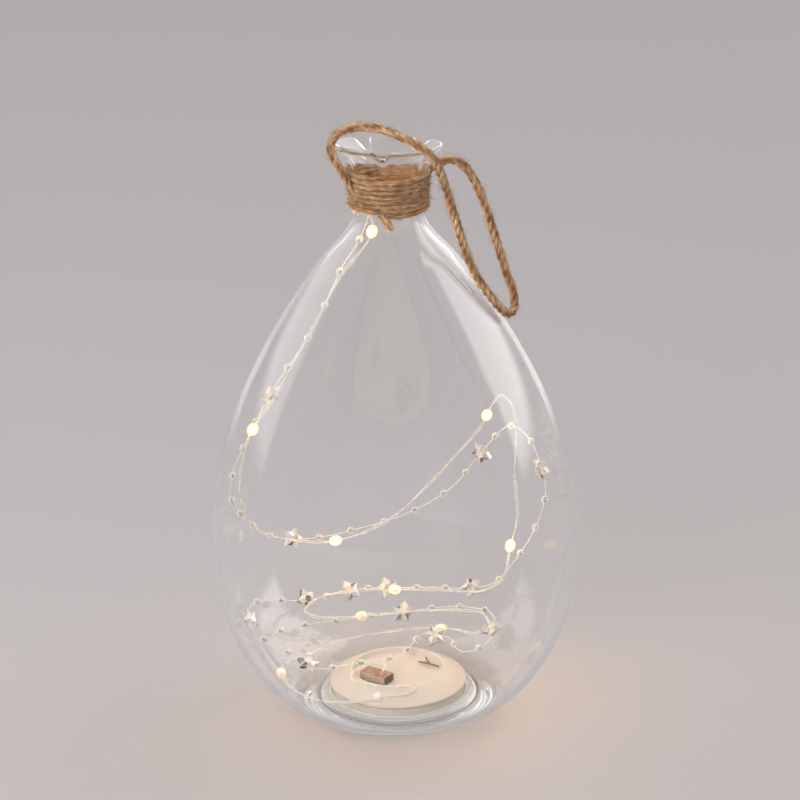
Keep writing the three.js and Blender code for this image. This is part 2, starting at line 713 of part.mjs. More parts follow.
// How far along a curve the point nearest to each place lies, in the order of the places
function distancesOn(curve, places) {
  const length = Math.floor(curve.getLength());
  const points = curve.getSpacedPoints(length);
  return places.map((place) => {
    const away = points.map((point) => point.distanceTo(v3(...place)));
    return (away.indexOf(Math.min(...away)) * curve.getLength()) / length;
  });
}

// The wire is straight where a light sits on it, and curved between one light and the next
const wireLength = wirePath.getLength();
const wireAt = (s) => wirePath.getPointAt(THREE.MathUtils.clamp(s / wireLength, 0, 1));
const lightDistances = distancesOn(wirePath, lightPlaces);
const lightHalf = LIGHT_L / 2 + LIGHT_SPARE;

function wireRings() {
  const rings = [];
  let from = 0;
  for (const s of [...lightDistances].sort((a, b) => a - b).concat(wireLength + lightHalf)) {
    const to = s - lightHalf;
    const count = Math.ceil((to - from) / WIRE_STEP);
    for (let k = 0; k <= count; k++) {
      rings.push({ at: wireAt(from + ((to - from) * k) / count), radius: WIRE_D / 2 });
    }
    from = s + lightHalf;
  }
  return rings;
}
add("light_wire", ringTube(wireRings(), 8), silverWire);

// A light: a clear drop round the wire, with a channel that the wire passes through
function light() {
  const bore = apart(WIRE_D / 2, 8);
  const half = LIGHT_L / 2;
  const r = LIGHT_D / 2;
  return turned([
    v2(bore, -half),
    v2(0.7 * r, -half),
    v2(r, -0.4 * half),
    v2(r, 0.4 * half),
    v2(0.7 * r, half),
    v2(bore, half),
    v2(bore, -half),
  ], 8);
}

lightDistances.forEach((s, i) => {
  const [before, after] = [wireAt(s - lightHalf), wireAt(s + lightHalf)];
  const drop = add(`light_${String(i + 1).padStart(2, "0")}`, light(), lamp);
  drop.quaternion.setFromUnitVectors(v3(0, 0, 1), after.clone().sub(before).normalize());
  drop.position.copy(before.add(after).multiplyScalar(0.5));
});

// Bead line: from the neck down the left, round the back of the glass, and three times to and fro
// across the bottom; beads are moulded on it between the stars
const lineRoute = [
  [-8, 7.4, 238], [-8.4, 6.6, 226], [-13, 6, 212], [-21, 6, 199], [-33, 6.4, 173], [-43, 6.6, 158],
  [-53, 7.4, 142.6], [-64, 9.4, 121], [-70.6, 12.4, 106], [-72.6, 14, 95], [-68, 30.6, 76.6],
  [-59, 43.6, 63], [-48, 53.6, 56], [-33, 63, 53], [-17, 69.4, 54], [-1, 72, 57.4],
  [14, 72, 64], [28, 69, 75], [40, 62, 93], [53, 48.4, 111], [60.6, 39.4, 109], [66, 32.4, 98],
  [68, 31.4, 86], [63.4, 38.6, 65], [54.4, 44.4, 47], [46, 46.6, 36], [35, 51.6, 30.6],
  [17, 58.6, 28.4], [-2, 61, 27.4], [-20, 58, 28.4], [-40, 46.4, 28.6], [-55, 33.6, 34.6],
  [-65.4, 17, 39.6], [-66.6, 6, 36], [-60.4, 9, 26.6], [-52, 26, 23.6], [-42, 37, 20.6],
  [-30, 45.4, 18.6], [-15, 51, 18], [3, 53.6, 18.4], [20, 53, 21], [32, 49, 22.6],
  [43.4, 39.6, 23], [44.6, 31, 18.6], [37, 20.4, 15], [30, 17.4, 14.6], [26.4, 22, 14.6],
  [24.6, 30.6, 14.8], [19, 35.6, 15], [12, 34.4, 15.8], [8.6, 26, 17.4], [3, 10, 18.8],
  [-1.7, 4.1, 19.6], [-6.4, -1.6, 20.6],
  [-11, -3.3, 21], [-17.4, -3, 19.6], [-25.6, 0, 17], [-33, 4.6, 13.6], [-41, 9, 13],
  [-48.4, 10.4, 18.6], [-53.6, 8.4, 23],
];
const lineCurve = smooth(lineRoute);
const lineLength = lineCurve.getLength();
const lineAt = (s) => lineCurve.getPointAt(THREE.MathUtils.clamp(s / lineLength, 0, 1));

const starPlaces = [
  [-53, 7, 143], [-48, 54, 56], [40, 62, 93], [66, 32, 97], [35, 52, 31], [-3, 61, 27.5],
  [-22, 57, 28.5], [-41, 45.6, 28.6], [-66, 7, 36], [3, 54, 18.4], [45, 32, 19], [17.6, 36, 15],
  [-41, 9, 13],
];

const starDistances = distancesOn(lineCurve, starPlaces);

// Rings of the line: thin between beads, thick at each bead, straight through each star
function beadedRings() {
  const line = LINE_D / 2;
  const bead = BEAD_D / 2;
  const straight = STAR_TIP_R + 1.2;
  const rings = [{ at: lineAt(0), radius: line }];
  const ring = (s, radius) => rings.push({ at: lineAt(s), radius });
  const stops = [0, ...starDistances, lineLength];
  let beads = 0;
  for (let i = 1; i < stops.length; i++) {
    const from = stops[i - 1] + (i > 1 ? straight : 2);
    const to = stops[i] - (i < stops.length - 1 ? straight : 2);
    const count = Math.max(1, Math.round((to - from) / BEAD_PITCH));
    ring(from, line);
    for (let k = 0; k < count; k++) {
      const s = from + ((k + 0.5) * (to - from)) / count;
      ring(s - bead, line);
      ring(s - bead / 2, bead * 0.93);
      ring(s + bead / 2, bead * 0.93);
      ring(s + bead, line);
      beads += 1;
      if (k < count - 1) {
        ring(from + ((k + 1) * (to - from)) / count, line);
      }
    }
    ring(to, line);
  }
  ring(lineLength, line);
  console.log(`bead line: ${lineLength.toFixed(0)} mm long, ${beads} beads`);
  return rings;
}
add("bead_line", ringTube(beadedRings(), 6), clearBead);

// A star: five points, faceted to a peak on each face, bored from one point to the notch opposite
function star() {
  const positions = [];
  const index = [];
  for (const z of [-STAR_EDGE / 2, STAR_EDGE / 2]) {
    for (let i = 0; i < 10; i++) {
      const a = deg(90 + i * 36);
      const r = i % 2 ? STAR_NOTCH_R : STAR_TIP_R;
      positions.push(r * Math.cos(a), r * Math.sin(a), z);
    }
  }
  positions.push(0, 0, -STAR_T / 2, 0, 0, STAR_T / 2);
  for (let i = 0; i < 10; i++) {
    const next = (i + 1) % 10;
    index.push(i, next, 10 + next, i, 10 + next, 10 + i);
    index.push(20, next, i, 21, 10 + i, 10 + next);
  }
  const geometry = new THREE.BufferGeometry();
  geometry.setAttribute("position", new THREE.Float32BufferAttribute(positions, 3));
  geometry.setIndex(index);
  const bore = rod(apart(LINE_D / 2, 6), -2 * STAR_TIP_R, 2 * STAR_TIP_R, 0, 0, 6).rotateX(Math.PI / 2);
  return shapeOf(solid(geometry).subtract(solid(bore)));
}

// The first star hangs clear of the glass and faces the front; the others face the inside of the jar
starDistances.forEach((s, i) => {
  const straight = STAR_TIP_R + 1.2;
  const before = lineAt(s - straight);
  const after = lineAt(s + straight);
  const along = after.clone().sub(before).normalize();
  const at = before.add(after).multiplyScalar(0.5);
  const face = v3(0, i ? STAR_FACES_Y : FREE_STAR_FACES_Y, BELLY_Z).sub(at);
  face.addScaledVector(along, -face.dot(along)).normalize();
  const across = along.clone().cross(face);
  const piece = add(`star_${String(i + 1).padStart(2, "0")}`, star(), crystal);
  piece.quaternion.setFromRotationMatrix(new THREE.Matrix4().makeBasis(across, along, face));
  piece.position.copy(at);
});

const ropeLength = ropePath.getLength();
console.log(`rope handle ${ropeLength.toFixed(0)} mm, light wire ${wireLength.toFixed(0)} mm`);

export default model;
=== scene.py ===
# %% [markdown]
# # LED jar light
#
# A drop of clear blown glass stands on a narrow foot. Jute twine is wound round its neck, and a jute rope handle
# lies over its five-lobed mouth. A battery unit fills the hole in its base, and inside hang a light wire with ten
# lit drops and a line of clear beads with thirteen cut glass stars.
#
# The frame holds the machined solids, each at its place. The cells below give every piece the surface of the real
# one, and replace the solids that are too coarse for a close look.

# %% Frame
import math
import random

import bmesh
import bpy
from mathutils import Matrix, Quaternion, Vector


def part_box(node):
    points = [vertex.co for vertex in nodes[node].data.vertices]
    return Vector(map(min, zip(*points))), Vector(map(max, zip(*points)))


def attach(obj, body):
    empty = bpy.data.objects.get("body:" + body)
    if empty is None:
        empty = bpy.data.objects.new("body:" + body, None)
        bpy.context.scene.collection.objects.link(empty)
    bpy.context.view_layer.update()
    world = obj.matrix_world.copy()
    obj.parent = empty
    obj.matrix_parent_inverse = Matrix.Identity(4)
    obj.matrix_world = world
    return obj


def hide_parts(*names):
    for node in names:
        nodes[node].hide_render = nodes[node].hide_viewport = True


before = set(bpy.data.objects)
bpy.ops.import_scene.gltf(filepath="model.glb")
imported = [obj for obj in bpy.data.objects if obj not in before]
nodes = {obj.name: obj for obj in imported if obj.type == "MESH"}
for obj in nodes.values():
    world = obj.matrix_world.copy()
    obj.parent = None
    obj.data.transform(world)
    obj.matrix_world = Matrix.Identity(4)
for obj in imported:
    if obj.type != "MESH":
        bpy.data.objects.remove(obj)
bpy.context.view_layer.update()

MM = 0.001

# %% [markdown]
# ## Camera
#
# The photograph was taken with a long lens from a little above the jar, which shows in the oval of the mouth and in
# the flat oval of the battery unit. The lens is shifted because the jar stands left of and below the middle of the
# picture, and the camera is rolled by about a degree because the jar's axis leans that much.

# %% Camera
CAMERA_AT = Vector((0.0, -1302.6, 623.1)) * MM
CAMERA_AIM = Vector((0.0, 0.0, 110.0)) * MM
CAMERA_ROLL = math.radians(-1.153)

lens = bpy.data.cameras.new("camera")
lens.sensor_width = 36.0
lens.lens = 145.8
lens.shift_x = 0.0075
lens.shift_y = 0.0868
camera = bpy.data.objects.new("camera", lens)
bpy.context.collection.objects.link(camera)
camera.location = CAMERA_AT
aim = (CAMERA_AIM - CAMERA_AT).to_track_quat("-Z", "Y")
camera.rotation_euler = (aim @ Quaternion((0.0, 0.0, 1.0), CAMERA_ROLL)).to_euler()
bpy.context.scene.camera = camera
print("camera at", [round(c / MM, 1) for c in CAMERA_AT], "mm, lens", lens.lens, "mm")

# %% [markdown]
# ## Paths
#
# Rope, wire and line are each drawn along one smooth curve through a few points. The curve is cut into even steps, and
# a frame that never twists is carried along it, so that strands can be laid round it at a steady lay.

# %% Paths
def smooth_path(route, step):
    """Points in metres, a step in mm apart, on the smooth curve through a route in mm."""
    knots = [Vector(p) * MM for p in route]
    knots = [2 * knots[0] - knots[1], *knots, 2 * knots[-1] - knots[-2]]
    dense = []
    for a, b, c, d in zip(knots, knots[1:], knots[2:], knots[3:]):
        before, own, after = (math.sqrt((q - p).length) for p, q in ((a, b), (b, c), (c, d)))
        leave = (c - b) + own * ((b - a) / before - (c - a) / (before + own))
        arrive = (c - b) + own * ((d - c) / after - (d - b) / (own + after))
        for k in range(24):
            t = k / 24
            dense.append(
                (2 * t**3 - 3 * t**2 + 1) * b
                + (t**3 - 2 * t**2 + t) * leave
                + (3 * t**2 - 2 * t**3) * c
                + (t**3 - t**2) * arrive
            )
    dense.append(knots[-2])
    return even(dense, step)


def even(points, step):
    """The same line with its points evenly spaced, a step in mm or a little less apart."""
    at = [0.0]
    for a, b in zip(points, points[1:]):
        at.append(at[-1] + (b - a).length)
    count = math.ceil(at[-1] / (step * MM))
    spaced, i = [], 0
    for k in range(count + 1):
        wanted = at[-1] * k / count
        while i < len(points) - 2 and at[i + 1] < wanted:
            i += 1
        share = (wanted - at[i]) / max(at[i + 1] - at[i], 1e-12)
        spaced.append(points[i].lerp(points[i + 1], min(share, 1.0)))
    return spaced


def length_of(points):
    """The length of a line of points, in metres."""
    return sum((b - a).length for a, b in zip(points, points[1:]))


def directions(points):
    """The way the line runs at each point."""
    last = len(points) - 1
    return [(points[min(i + 1, last)] - points[max(i - 1, 0)]).normalized() for i in range(last + 1)]


def frames(points):
    """(along, side, other side) at each point, carried along without twist."""
    ways = directions(points)
    side = ways[0].orthogonal().normalized()
    made = []
    for way in ways:
        side = (side - way * side.dot(way)).normalized()
        made.append((way, side, way.cross(side)))
    return made


def laid_round(points, radius, lay, phase, shares=None):
    """A line laid round another one: radius and length of one lay in mm, phase in turns."""
    step = length_of(points) / (len(points) - 1)
    laid = []
    for i, (point, (_, side, other)) in enumerate(zip(points, frames(points))):
        angle = 2 * math.pi * (phase + i * step / (lay * MM))
        out = radius * MM * (shares[i] if shares else 1.0)
        laid.append(point + out * (math.cos(angle) * side + math.sin(angle) * other))
    return laid


def tubes(name, lines, radius, resolution, shares=None, finishes=(), kinds=()):
    """One mesh object of round tubes; the radius is in mm, one or one a line, and so is the kind of finish."""
    curve = bpy.data.curves.new(name, "CURVE")
    for finish in finishes:
        curve.materials.append(finish)
    curve.dimensions = "3D"
    curve.bevel_depth = MM
    curve.bevel_resolution = resolution
    curve.use_fill_caps = True
    radii = radius if isinstance(radius, list) else [radius] * len(lines)
    for k, (line, thick) in enumerate(zip(lines, radii)):
        spline = curve.splines.new("POLY")
        spline.material_index = kinds[k % len(kinds)] if kinds else 0
        spline.points.add(len(line) - 1)
        for i, (corner, point) in enumerate(zip(spline.points, line)):
            corner.co = (*point, 1.0)
            corner.radius = thick * (shares[i] if shares else 1.0)
    drawn = bpy.data.objects.new(name, curve)
    bpy.context.collection.objects.link(drawn)
    mesh = bpy.data.meshes.new_from_object(drawn.evaluated_get(bpy.context.evaluated_depsgraph_get()))
    bpy.data.objects.remove(drawn)
    bpy.data.curves.remove(curve)
    mesh.name = name
    mesh.shade_smooth()
    piece = bpy.data.objects.new(name, mesh)
    bpy.context.collection.objects.link(piece)
    return piece


# %% [markdown]
# ## Colours and nodes
#
# Colours are written as they look on a screen and turned into light by one function. One small function adds a node
# with its settings, and every pattern takes its size in real millimetres from the object's own coordinates, so it
# stays on the piece whatever the view.

# %% Colours and nodes
def linear(text):
    """Screen colour such as c8b090, as linear red, green, blue and alpha."""
    values = [int(text[i : i + 2], 16) / 255 for i in (0, 2, 4)]
    return (*[v / 12.92 if v <= 0.04045 else ((v + 0.055) / 1.055) ** 2.4 for v in values], 1.0)


def material(name):
    """An empty node material and its tree."""
    made = bpy.data.materials.new(name)
    made.use_nodes = True
    made.node_tree.nodes.clear()
    return made, made.node_tree


def add(tree, kind, sockets=None, links=None, **settings):
    """A shader node with its settings, its socket values and what is linked into its sockets."""
    node = tree.nodes.new("ShaderNode" + kind)
    for key, value in settings.items():
        setattr(node, key, value)
    for key, value in (sockets or {}).items():
        node.inputs[key].default_value = value
    for key, source in (links or {}).items():
        tree.links.new(source, node.inputs[key])
    return node


def surface(tree, shader):
    """Links a shader to the material's output."""
    add(tree, "OutputMaterial", links={"Surface": shader})


def noise(tree, size, detail=3.0, roughness=0.55):
    """Noise whose blobs are about size mm across."""
    where = add(tree, "TexCoord").outputs["Object"]
    values = {"Scale": 1 / (size * MM), "Detail": detail, "Roughness": roughness}
    return add(tree, "TexNoise", values, {"Vector": where}).outputs["Fac"]


def ramp(tree, source, *stops):
    """A colour ramp: stops are (position, screen colour)."""
    node = add(tree, "ValToRGB", links={"Fac": source})
    entries = node.color_ramp.elements
    while len(entries) < len(stops):
        entries.new(0.5)
    for entry, (position, colour) in zip(entries, stops):
        entry.position = position
        entry.color = linear(colour)
    return node.outputs["Color"]


def between(tree, source, low, high):
    """A number from low to high where the source goes from 0.3 to 0.7."""
    values = {"From Min": 0.3, "From Max": 0.7, "To Min": low, "To Max": high}
    return add(tree, "MapRange", values, {"Value": source}).outputs["Result"]


def reckoned(tree, operation, first, second):
    """A number worked out from two others, each a socket or a plain number."""
    pair = {0: first, 1: second}
    plain = {i: value for i, value in pair.items() if isinstance(value, float)}
    linked = {i: value for i, value in pair.items() if i not in plain}
    return add(tree, "Math", plain, linked, operation=operation).outputs[0]


def bump(tree, height, depth):
    """Relief of a height from 0 to 1, depth mm deep."""
    return add(tree, "Bump", {"Distance": depth * MM}, {"Height": height}).outputs["Normal"]


def principled(tree, sockets, **links):
    """The main shader; link names have underscores for spaces."""
    named = {key.replace("_", " "): source for key, source in links.items()}
    return add(tree, "BsdfPrincipled", sockets, named).outputs["BSDF"]


def mixed(tree, share, first, second):
    """Two shaders, the second by its share."""
    return add(tree, "MixShader", links={"Fac": share, 1: first, 2: second}).outputs["Shader"]


def evenly_coloured(name, size, low, high, values):
    """A finish of one colour whose roughness changes from low to high over size mm."""
    made, tree = material(name)
    shade = between(tree, noise(tree, size, 2.0), low, high)
    surface(tree, principled(tree, values, Roughness=shade))
    return made


def lets_light_through(tree, shader, tint):
    """Clear pieces let the light of lamps through: a shadow ray passes them, only tinted."""
    clear = add(tree, "BsdfTransparent", {"Color": linear(tint)}).outputs["BSDF"]
    return mixed(tree, add(tree, "LightPath").outputs["Is Shadow Ray"], shader, clear)


# %% [markdown]
# ## Jute
#
# Jute is the stem fibre of a plant. It is spun dry into yarns, and yarns are laid into strands and strands into rope.
# Its surface is dull and it is never one colour: each yarn is a little straw, tan or brown, and streaks run through
# it, so there are three materials that the yarns take in turn. Light shines through thin jute, which is a share of
# translucent shader. It never lies quite flat, and loose fibre ends stand out all along it.

# %% Jute
def spun_jute(name, dark, middle, light):
    """Dull plant fibre whose colour changes over 3 mm, with streaks and relief of 0.4 mm."""
    made, tree = material(name)
    patch = noise(tree, 3.0, 4.0)
    streak = noise(tree, 0.4, 4.0, 0.7)
    both = reckoned(tree, "MULTIPLY", reckoned(tree, "ADD", patch, streak), 0.5)
    colour = ramp(tree, both, (0.36, dark), (0.5, middle), (0.64, light))
    relief = bump(tree, streak, 0.15)
    values = {"Roughness": 0.9, "Specular IOR Level": 0.2, "Sheen Weight": 0.2, "Sheen Roughness": 0.5}
    front = principled(tree, values, Base_Color=colour, Normal=relief)
    through = add(tree, "BsdfTranslucent", links={"Color": colour}).outputs["BSDF"]
    surface(tree, add(tree, "MixShader", {"Fac": 0.22}, {1: front, 2: through}).outputs["Shader"])
    return made


def fibres(name, points, radius, count, lengths, lifts, thickness, seed):
    """Loose fibre ends along a cord of that radius in mm: thin lines that leave it at a low angle."""
    rng = random.Random(seed)
    along = frames(points)
    lines, radii = [], []
    for _ in range(count):
        i = rng.randrange(2, len(points) - 2)
        way, side, other = along[i]
        angle = rng.uniform(0, 2 * math.pi)
        out = math.cos(angle) * side + math.sin(angle) * other
        turn = way.cross(out) * rng.uniform(-0.4, 0.4)
        forward = (way * rng.choice((-1, 1)) + turn).normalized()
        long = rng.uniform(*lengths) * MM
        lift = rng.uniform(*lifts)
        start = points[i] + out * radius * 0.92 * MM
        bend = start + forward * long * 0.5 + out * long * lift * 0.3
        end = start + forward * long * rng.uniform(0.8, 0.95) + out * long * lift
        lines.append([start, bend, end])
        radii.append(rng.uniform(*thickness))
    return tubes(name, lines, radii, 0, finishes=jutes, kinds=(0, 1, 2, 2))


jutes = [
    spun_jute("spun_jute_brown", "6c4a30", "9a7150", "bd9468"),
    spun_jute("spun_jute_tan", "936d4b", "c49870", "dfbb90"),
    spun_jute("spun_jute_straw", "b08a63", "dfbe93", "f3dfbd"),
]

# %% [markdown]
# ## Rope handle
#
# The handle is a 3.7 mm rope of three strands, each laid from four yarns. It is tied in under the left of the winding,
# goes up over the mouth, comes down in a long bight on the right shoulder, and goes back up to the right of the
# winding. The strands are laid one way and their yarns the other, which is what keeps a rope from unlaying.

# %% Rope handle
ROPE_D = 3.7
ROPE_LAY = 12.0
YARN_LAY = 9.0
TUCK = 9.0
ROPE_ROUTE = [
    (-14.2, -9.6, 236.8), (-15.8, -9.4, 240.2),
    (-17.8, -8.9, 243.6), (-19.4, -8.3, 246.8), (-21.6, -6.6, 250.4), (-23.4, -4, 254), (-23, -1.4, 257.6),
    (-19.8, 0.6, 260.6), (-14.6, 1.2, 262.2), (-8.5, -0.2, 263), (-1, -5.4, 262.8), (6, -13.2, 261.8),
    (13.6, -20.6, 259.4), (19.2, -22, 254.4), (22, -19.6, 247), (24.8, -15.6, 237), (28, -12.4, 225),
    (31.6, -10.6, 212), (36.6, -10.4, 199.6), (42.6, -9, 190), (47, -5.6, 183.6), (50, -1.6, 180.4),
    (52.4, 2.2, 181.4), (52.4, 4.6, 187), (48.8, 6.4, 198), (45, 7.6, 211), (40.8, 8.6, 225),
    (36.6, 9.2, 235.6), (32, 9.4, 242.6), (27, 9, 245.6), (22.4, 8, 245), (18.6, 6.8, 242.8),
    (15.8, 6.2, 239.4), (14.6, 5.8, 236.4),
]


def thinned(points, reach, least):
    """How thick a cord is at each point: down to a share at both ends, over a reach in mm."""
    step = length_of(points) / (len(points) - 1) / MM
    last = len(points) - 1
    return [least + (1 - least) * min(1.0, min(i, last - i) * step / reach) for i in range(last + 1)]


def laid_yarns(points, diameter, strands, yarns, lay, yarn_lay, shares=None):
    """The lines of the yarns of a rope that fills the diameter in mm, and their radius."""
    reach = diameter / 2
    strand_r = reach * 0.47
    lines = []
    for s in range(strands):
        strand = laid_round(points, reach - strand_r, lay, s / strands, shares)
        for y in range(yarns):
            lines.append(laid_round(strand, strand_r * 0.52, -yarn_lay, y / yarns, shares))
    return lines, strand_r * 0.54


rope_path = smooth_path(ROPE_ROUTE, 0.5)
rope_shares = thinned(rope_path, TUCK, 0.3)
rope_yarns, yarn_r = laid_yarns(rope_path, ROPE_D, 3, 4, ROPE_LAY, YARN_LAY, rope_shares)
rope = tubes("rope_handle_laid", rope_yarns, yarn_r, 1, rope_shares, jutes, (1, 2, 1, 0, 2, 1, 1, 2, 0, 1, 2, 1))
rope_fuzz = fibres("rope_fibres", rope_path[20:-20], ROPE_D / 2, 1800, (2.0, 6.0), (0.05, 0.5), (0.02, 0.04), 11)
print("rope handle:", round(length_of(rope_path) / MM), "mm,", len(rope.data.polygons), "faces")

# %% [markdown]
# ## Neck twine
#
# The neck is wound with eight turns of three-ply twine. It holds the ends of the rope and gives the glass a grip. The
# turns touch, so each has a plain core as thick as the distance to the next turn, with the yarns laid on it and
# fibres lying close along it. A short end of the twine hangs out below.

# %% Neck twine
TWINE_D = 1.6
TWINE_PITCH = 2.08
TWINE_TURNS = 8
TWINE_START = math.radians(252)
TWINE_LAID_D = 2.36
TWINE_CORE_R = 0.98
TWINE_LAY = 15.0
TWINE_FUZZ_R = 1.06
TWINE_OFF_GLASS = 0.42
STEPS_PER_TURN = 96
NECK_R = 14.5
NECK_FLARE = 1.2
NECK_Z = 227.6
NECK_H = TWINE_TURNS * TWINE_PITCH + TWINE_D


def twine_path():
    points = []
    for i in range(TWINE_TURNS * STEPS_PER_TURN + 1):
        turn = i / STEPS_PER_TURN
        z = NECK_Z + TWINE_D / 2 + turn * TWINE_PITCH
        angle = TWINE_START + turn * 2 * math.pi
        r = NECK_R + NECK_FLARE * (z + TWINE_D / 2 - NECK_Z) / NECK_H + TWINE_OFF_GLASS + TWINE_D / 2
        points.append(Vector((r * math.cos(angle), r * math.sin(angle), z)) * MM)
    return points


TAIL_D = 3.0
TAIL_LAY = 9.0
TAIL_ROUTE = [
    (-3.0, -16.0, 230.0), (-2.0, -17.3, 228.4), (-0.8, -18.0, 226.6), (0.3, -18.2, 225.0), (1.0, -18.2, 223.6),
]
wound = twine_path()
wound_shares = thinned(wound, TUCK, 0.2)
twine_yarns, twine_r = laid_yarns(wound, TWINE_LAID_D, 3, 2, TWINE_LAY, YARN_LAY, wound_shares)
radii = [twine_r] * len(twine_yarns) + [TWINE_CORE_R]
twine = tubes("neck_twine_laid", [*twine_yarns, wound], radii, 1, wound_shares, jutes, (1, 2, 1, 0, 1, 2))
twine_fuzz = fibres("twine_fibres", wound, TWINE_FUZZ_R, 3200, (2.0, 7.0), (0.0, 0.16), (0.03, 0.08), 12)
lowest = wound[:STEPS_PER_TURN]
edge_fuzz = fibres("twine_edge_fibres", lowest, TWINE_FUZZ_R, 260, (1.5, 3.5), (0.1, 0.5), (0.03, 0.06), 14)
tail = smooth_path(TAIL_ROUTE, 0.4)
tail_yarns, tail_r = laid_yarns(tail, TAIL_D, 3, 2, TAIL_LAY, TAIL_LAY * 2 / 3)
tail_radii = [tail_r] * len(tail_yarns) + [TAIL_D * 0.3]
twine_tail = tubes("neck_twine_tail", [*tail_yarns, tail], tail_radii, 1, None, jutes, (2, 1, 2, 1, 2, 1))
tail_fuzz = fibres("tail_fibres", tail, TAIL_D / 2, 90, (1.0, 3.0), (0.1, 0.6), (0.02, 0.04), 13)
print("twine:", round(length_of(wound) / MM), "mm wound,", len(twine.data.polygons), "faces")

# %% [markdown]
# ## Light wire
#
# A light string is two enamelled copper wires, silver coloured, held together by the drops that the lights are cast
# in. It leaves the block on the battery unit, crosses the dish, goes round the bottom of the jar, climbs the back of
# the glass at the right, sweeps across the back and goes up the left side into the neck. It is thin enough to keep
# every bend that it was given, so it holds itself up against the glass.

# %% Light wire
STRAND_R = 0.22
PAIR_SPREAD = 0.42
PAIR_LAY = 70.0
WIRE_ROUTE = [
    (-7, -10.4, 18.8), (-5.6, -8.6, 20.4), (-7.2, -6.8, 21.4), (-12, -6.2, 20.8), (-17.6, -8.4, 19.6),
    (-20.8, -12.2, 18), (-18.8, -16.2, 17.2), (-13, -19.2, 17.1), (-7.6, -21, 17.1), (-1, -22, 17.1),
    (4.4, -22.1, 17.2), (6.8, -23.8, 16.6), (4.8, -25.8, 15.8), (0, -27, 15.2), (-9, -27.8, 14.8),
    (-22, -28.6, 13), (-36, -25, 12.6), (-47, -17, 14.6), (-52, -6, 17), (-50.4, 8, 14.8), (-42, 21, 12.8),
    (-26, 34, 13.6), (-8, 41, 14), (10, 43, 15), (26, 39, 16), (36, 31.6, 17.4), (41.4, 31.2, 22), (39, 37, 24.6),
    (27, 44, 23.4), (10, 49, 21), (-8, 48.4, 20), (-24, 44, 21), (-36, 37.4, 24), (-42, 36, 28),
    (-36, 44, 30.4), (-21, 52.4, 30), (0, 55.4, 29), (20, 52.6, 29.6), (39, 43, 33), (49, 38, 42),
    (52, 41.6, 55), (55.4, 40.4, 70), (54.4, 42, 90), (55, 36.4, 114), (52.6, 30.4, 128), (49, 33.4, 131),
    (45.4, 42.4, 124.6), (39, 53.6, 108), (29, 62, 92.6), (14, 67.4, 74), (-1, 67.6, 60), (-16, 64, 53.6),
    (-32, 57.4, 52.6), (-47, 48.6, 57.6), (-58.6, 36, 66), (-65.4, 21, 79.4), (-67.6, 9.6, 95),
    (-66.4, 4, 110), (-60.6, 1, 129), (-51.4, 0.6, 142.6), (-41, 0, 161.4), (-30, 0, 181), (-20.6, 0, 198.4),
    (-9, 0, 213), (-6.8, 0, 221), (-9.6, 0, 230), (-11.2, 0, 240),
]


wire_path = smooth_path(WIRE_ROUTE, 0.8)
pair = [laid_round(wire_path, PAIR_SPREAD, PAIR_LAY, phase) for phase in (0.0, 0.5)]
wire = tubes("light_wire_pair", pair, STRAND_R, 2)
wire.data.materials.append(evenly_coloured("enamelled_copper_wire_silver", 6.0, 0.2, 0.34, {
    "Base Color": linear("fffaf0"), "Metallic": 0.3, "Coat Weight": 0.5, "Coat Roughness": 0.08,
}))
print("light wire:", round(length_of(wire_path) / MM), "mm,", len(wire.data.polygons), "faces")

# %% [markdown]
# ## Bead line
#
# A silvery line with clear beads of about 3.4 mm moulded on it every 15 mm or so, and a star threaded between them
# here and there. Each bead is a little lens over its silvered core, which shows white and dark through its clear
# middle, and towards its rim the glass turns milky white as it is seen more edge-on, a painted bright rim.
# It goes from the neck down the left, round the back of the glass and three times to and fro across the bottom.

# %% Bead line
LINE_D = 0.5
BEAD_D = 3.5
BEAD_PITCH = 15.5
LINING_R = 0.5
STAR_TIP_R = 5.4
STAR_NOTCH_R = 3.3
STAR_T = 4.8
LINE_ROUTE = [
    (-8, 7.4, 238), (-8.4, 6.6, 226), (-13, 6, 212), (-21, 6, 199), (-33, 6.4, 173), (-43, 6.6, 158),
    (-53, 7.4, 142.6), (-64, 9.4, 121), (-70.6, 12.4, 106), (-72.6, 14, 95), (-68, 30.6, 76.6),
    (-59, 43.6, 63), (-48, 53.6, 56), (-33, 63, 53), (-17, 69.4, 54), (-1, 72, 57.4), (14, 72, 64),
    (28, 69, 75), (40, 62, 93), (53, 48.4, 111), (60.6, 39.4, 109), (66, 32.4, 98), (68, 31.4, 86),
    (63.4, 38.6, 65), (54.4, 44.4, 47), (46, 46.6, 36), (35, 51.6, 30.6), (17, 58.6, 28.4), (-2, 61, 27.4),
    (-20, 58, 28.4), (-40, 46.4, 28.6), (-55, 33.6, 34.6), (-65.4, 17, 39.6), (-66.6, 6, 36),
    (-60.4, 9, 26.6), (-52, 26, 23.6), (-42, 37, 20.6), (-30, 45.4, 18.6), (-15, 51, 18), (3, 53.6, 18.4),
    (20, 53, 21), (32, 49, 22.6), (43.4, 39.6, 23), (44.6, 31, 18.6), (37, 20.4, 15), (30, 17.4, 14.6),
    (26.4, 22, 14.6), (24.6, 30.6, 14.8), (19, 35.6, 15), (12, 34.4, 15.8), (8.6, 26, 17.4), (3, 10, 18.8),
    (-1.7, 4.1, 19.6), (-6.4, -1.6, 20.6), (-11, -3.3, 21), (-17.4, -3, 19.6), (-25.6, 0, 17),
    (-33, 4.6, 13.6), (-41, 9, 13), (-48.4, 10.4, 18.6), (-53.6, 8.4, 23),
]
line_path = smooth_path(LINE_ROUTE, 0.5)
line_length = length_of(line_path) / MM
line_step = line_length / (len(line_path) - 1)


def on_line(distance):
    """The point that many mm along the bead line."""
    i = max(0, min(len(line_path) - 1, round(distance / line_step)))
    return line_path[i]


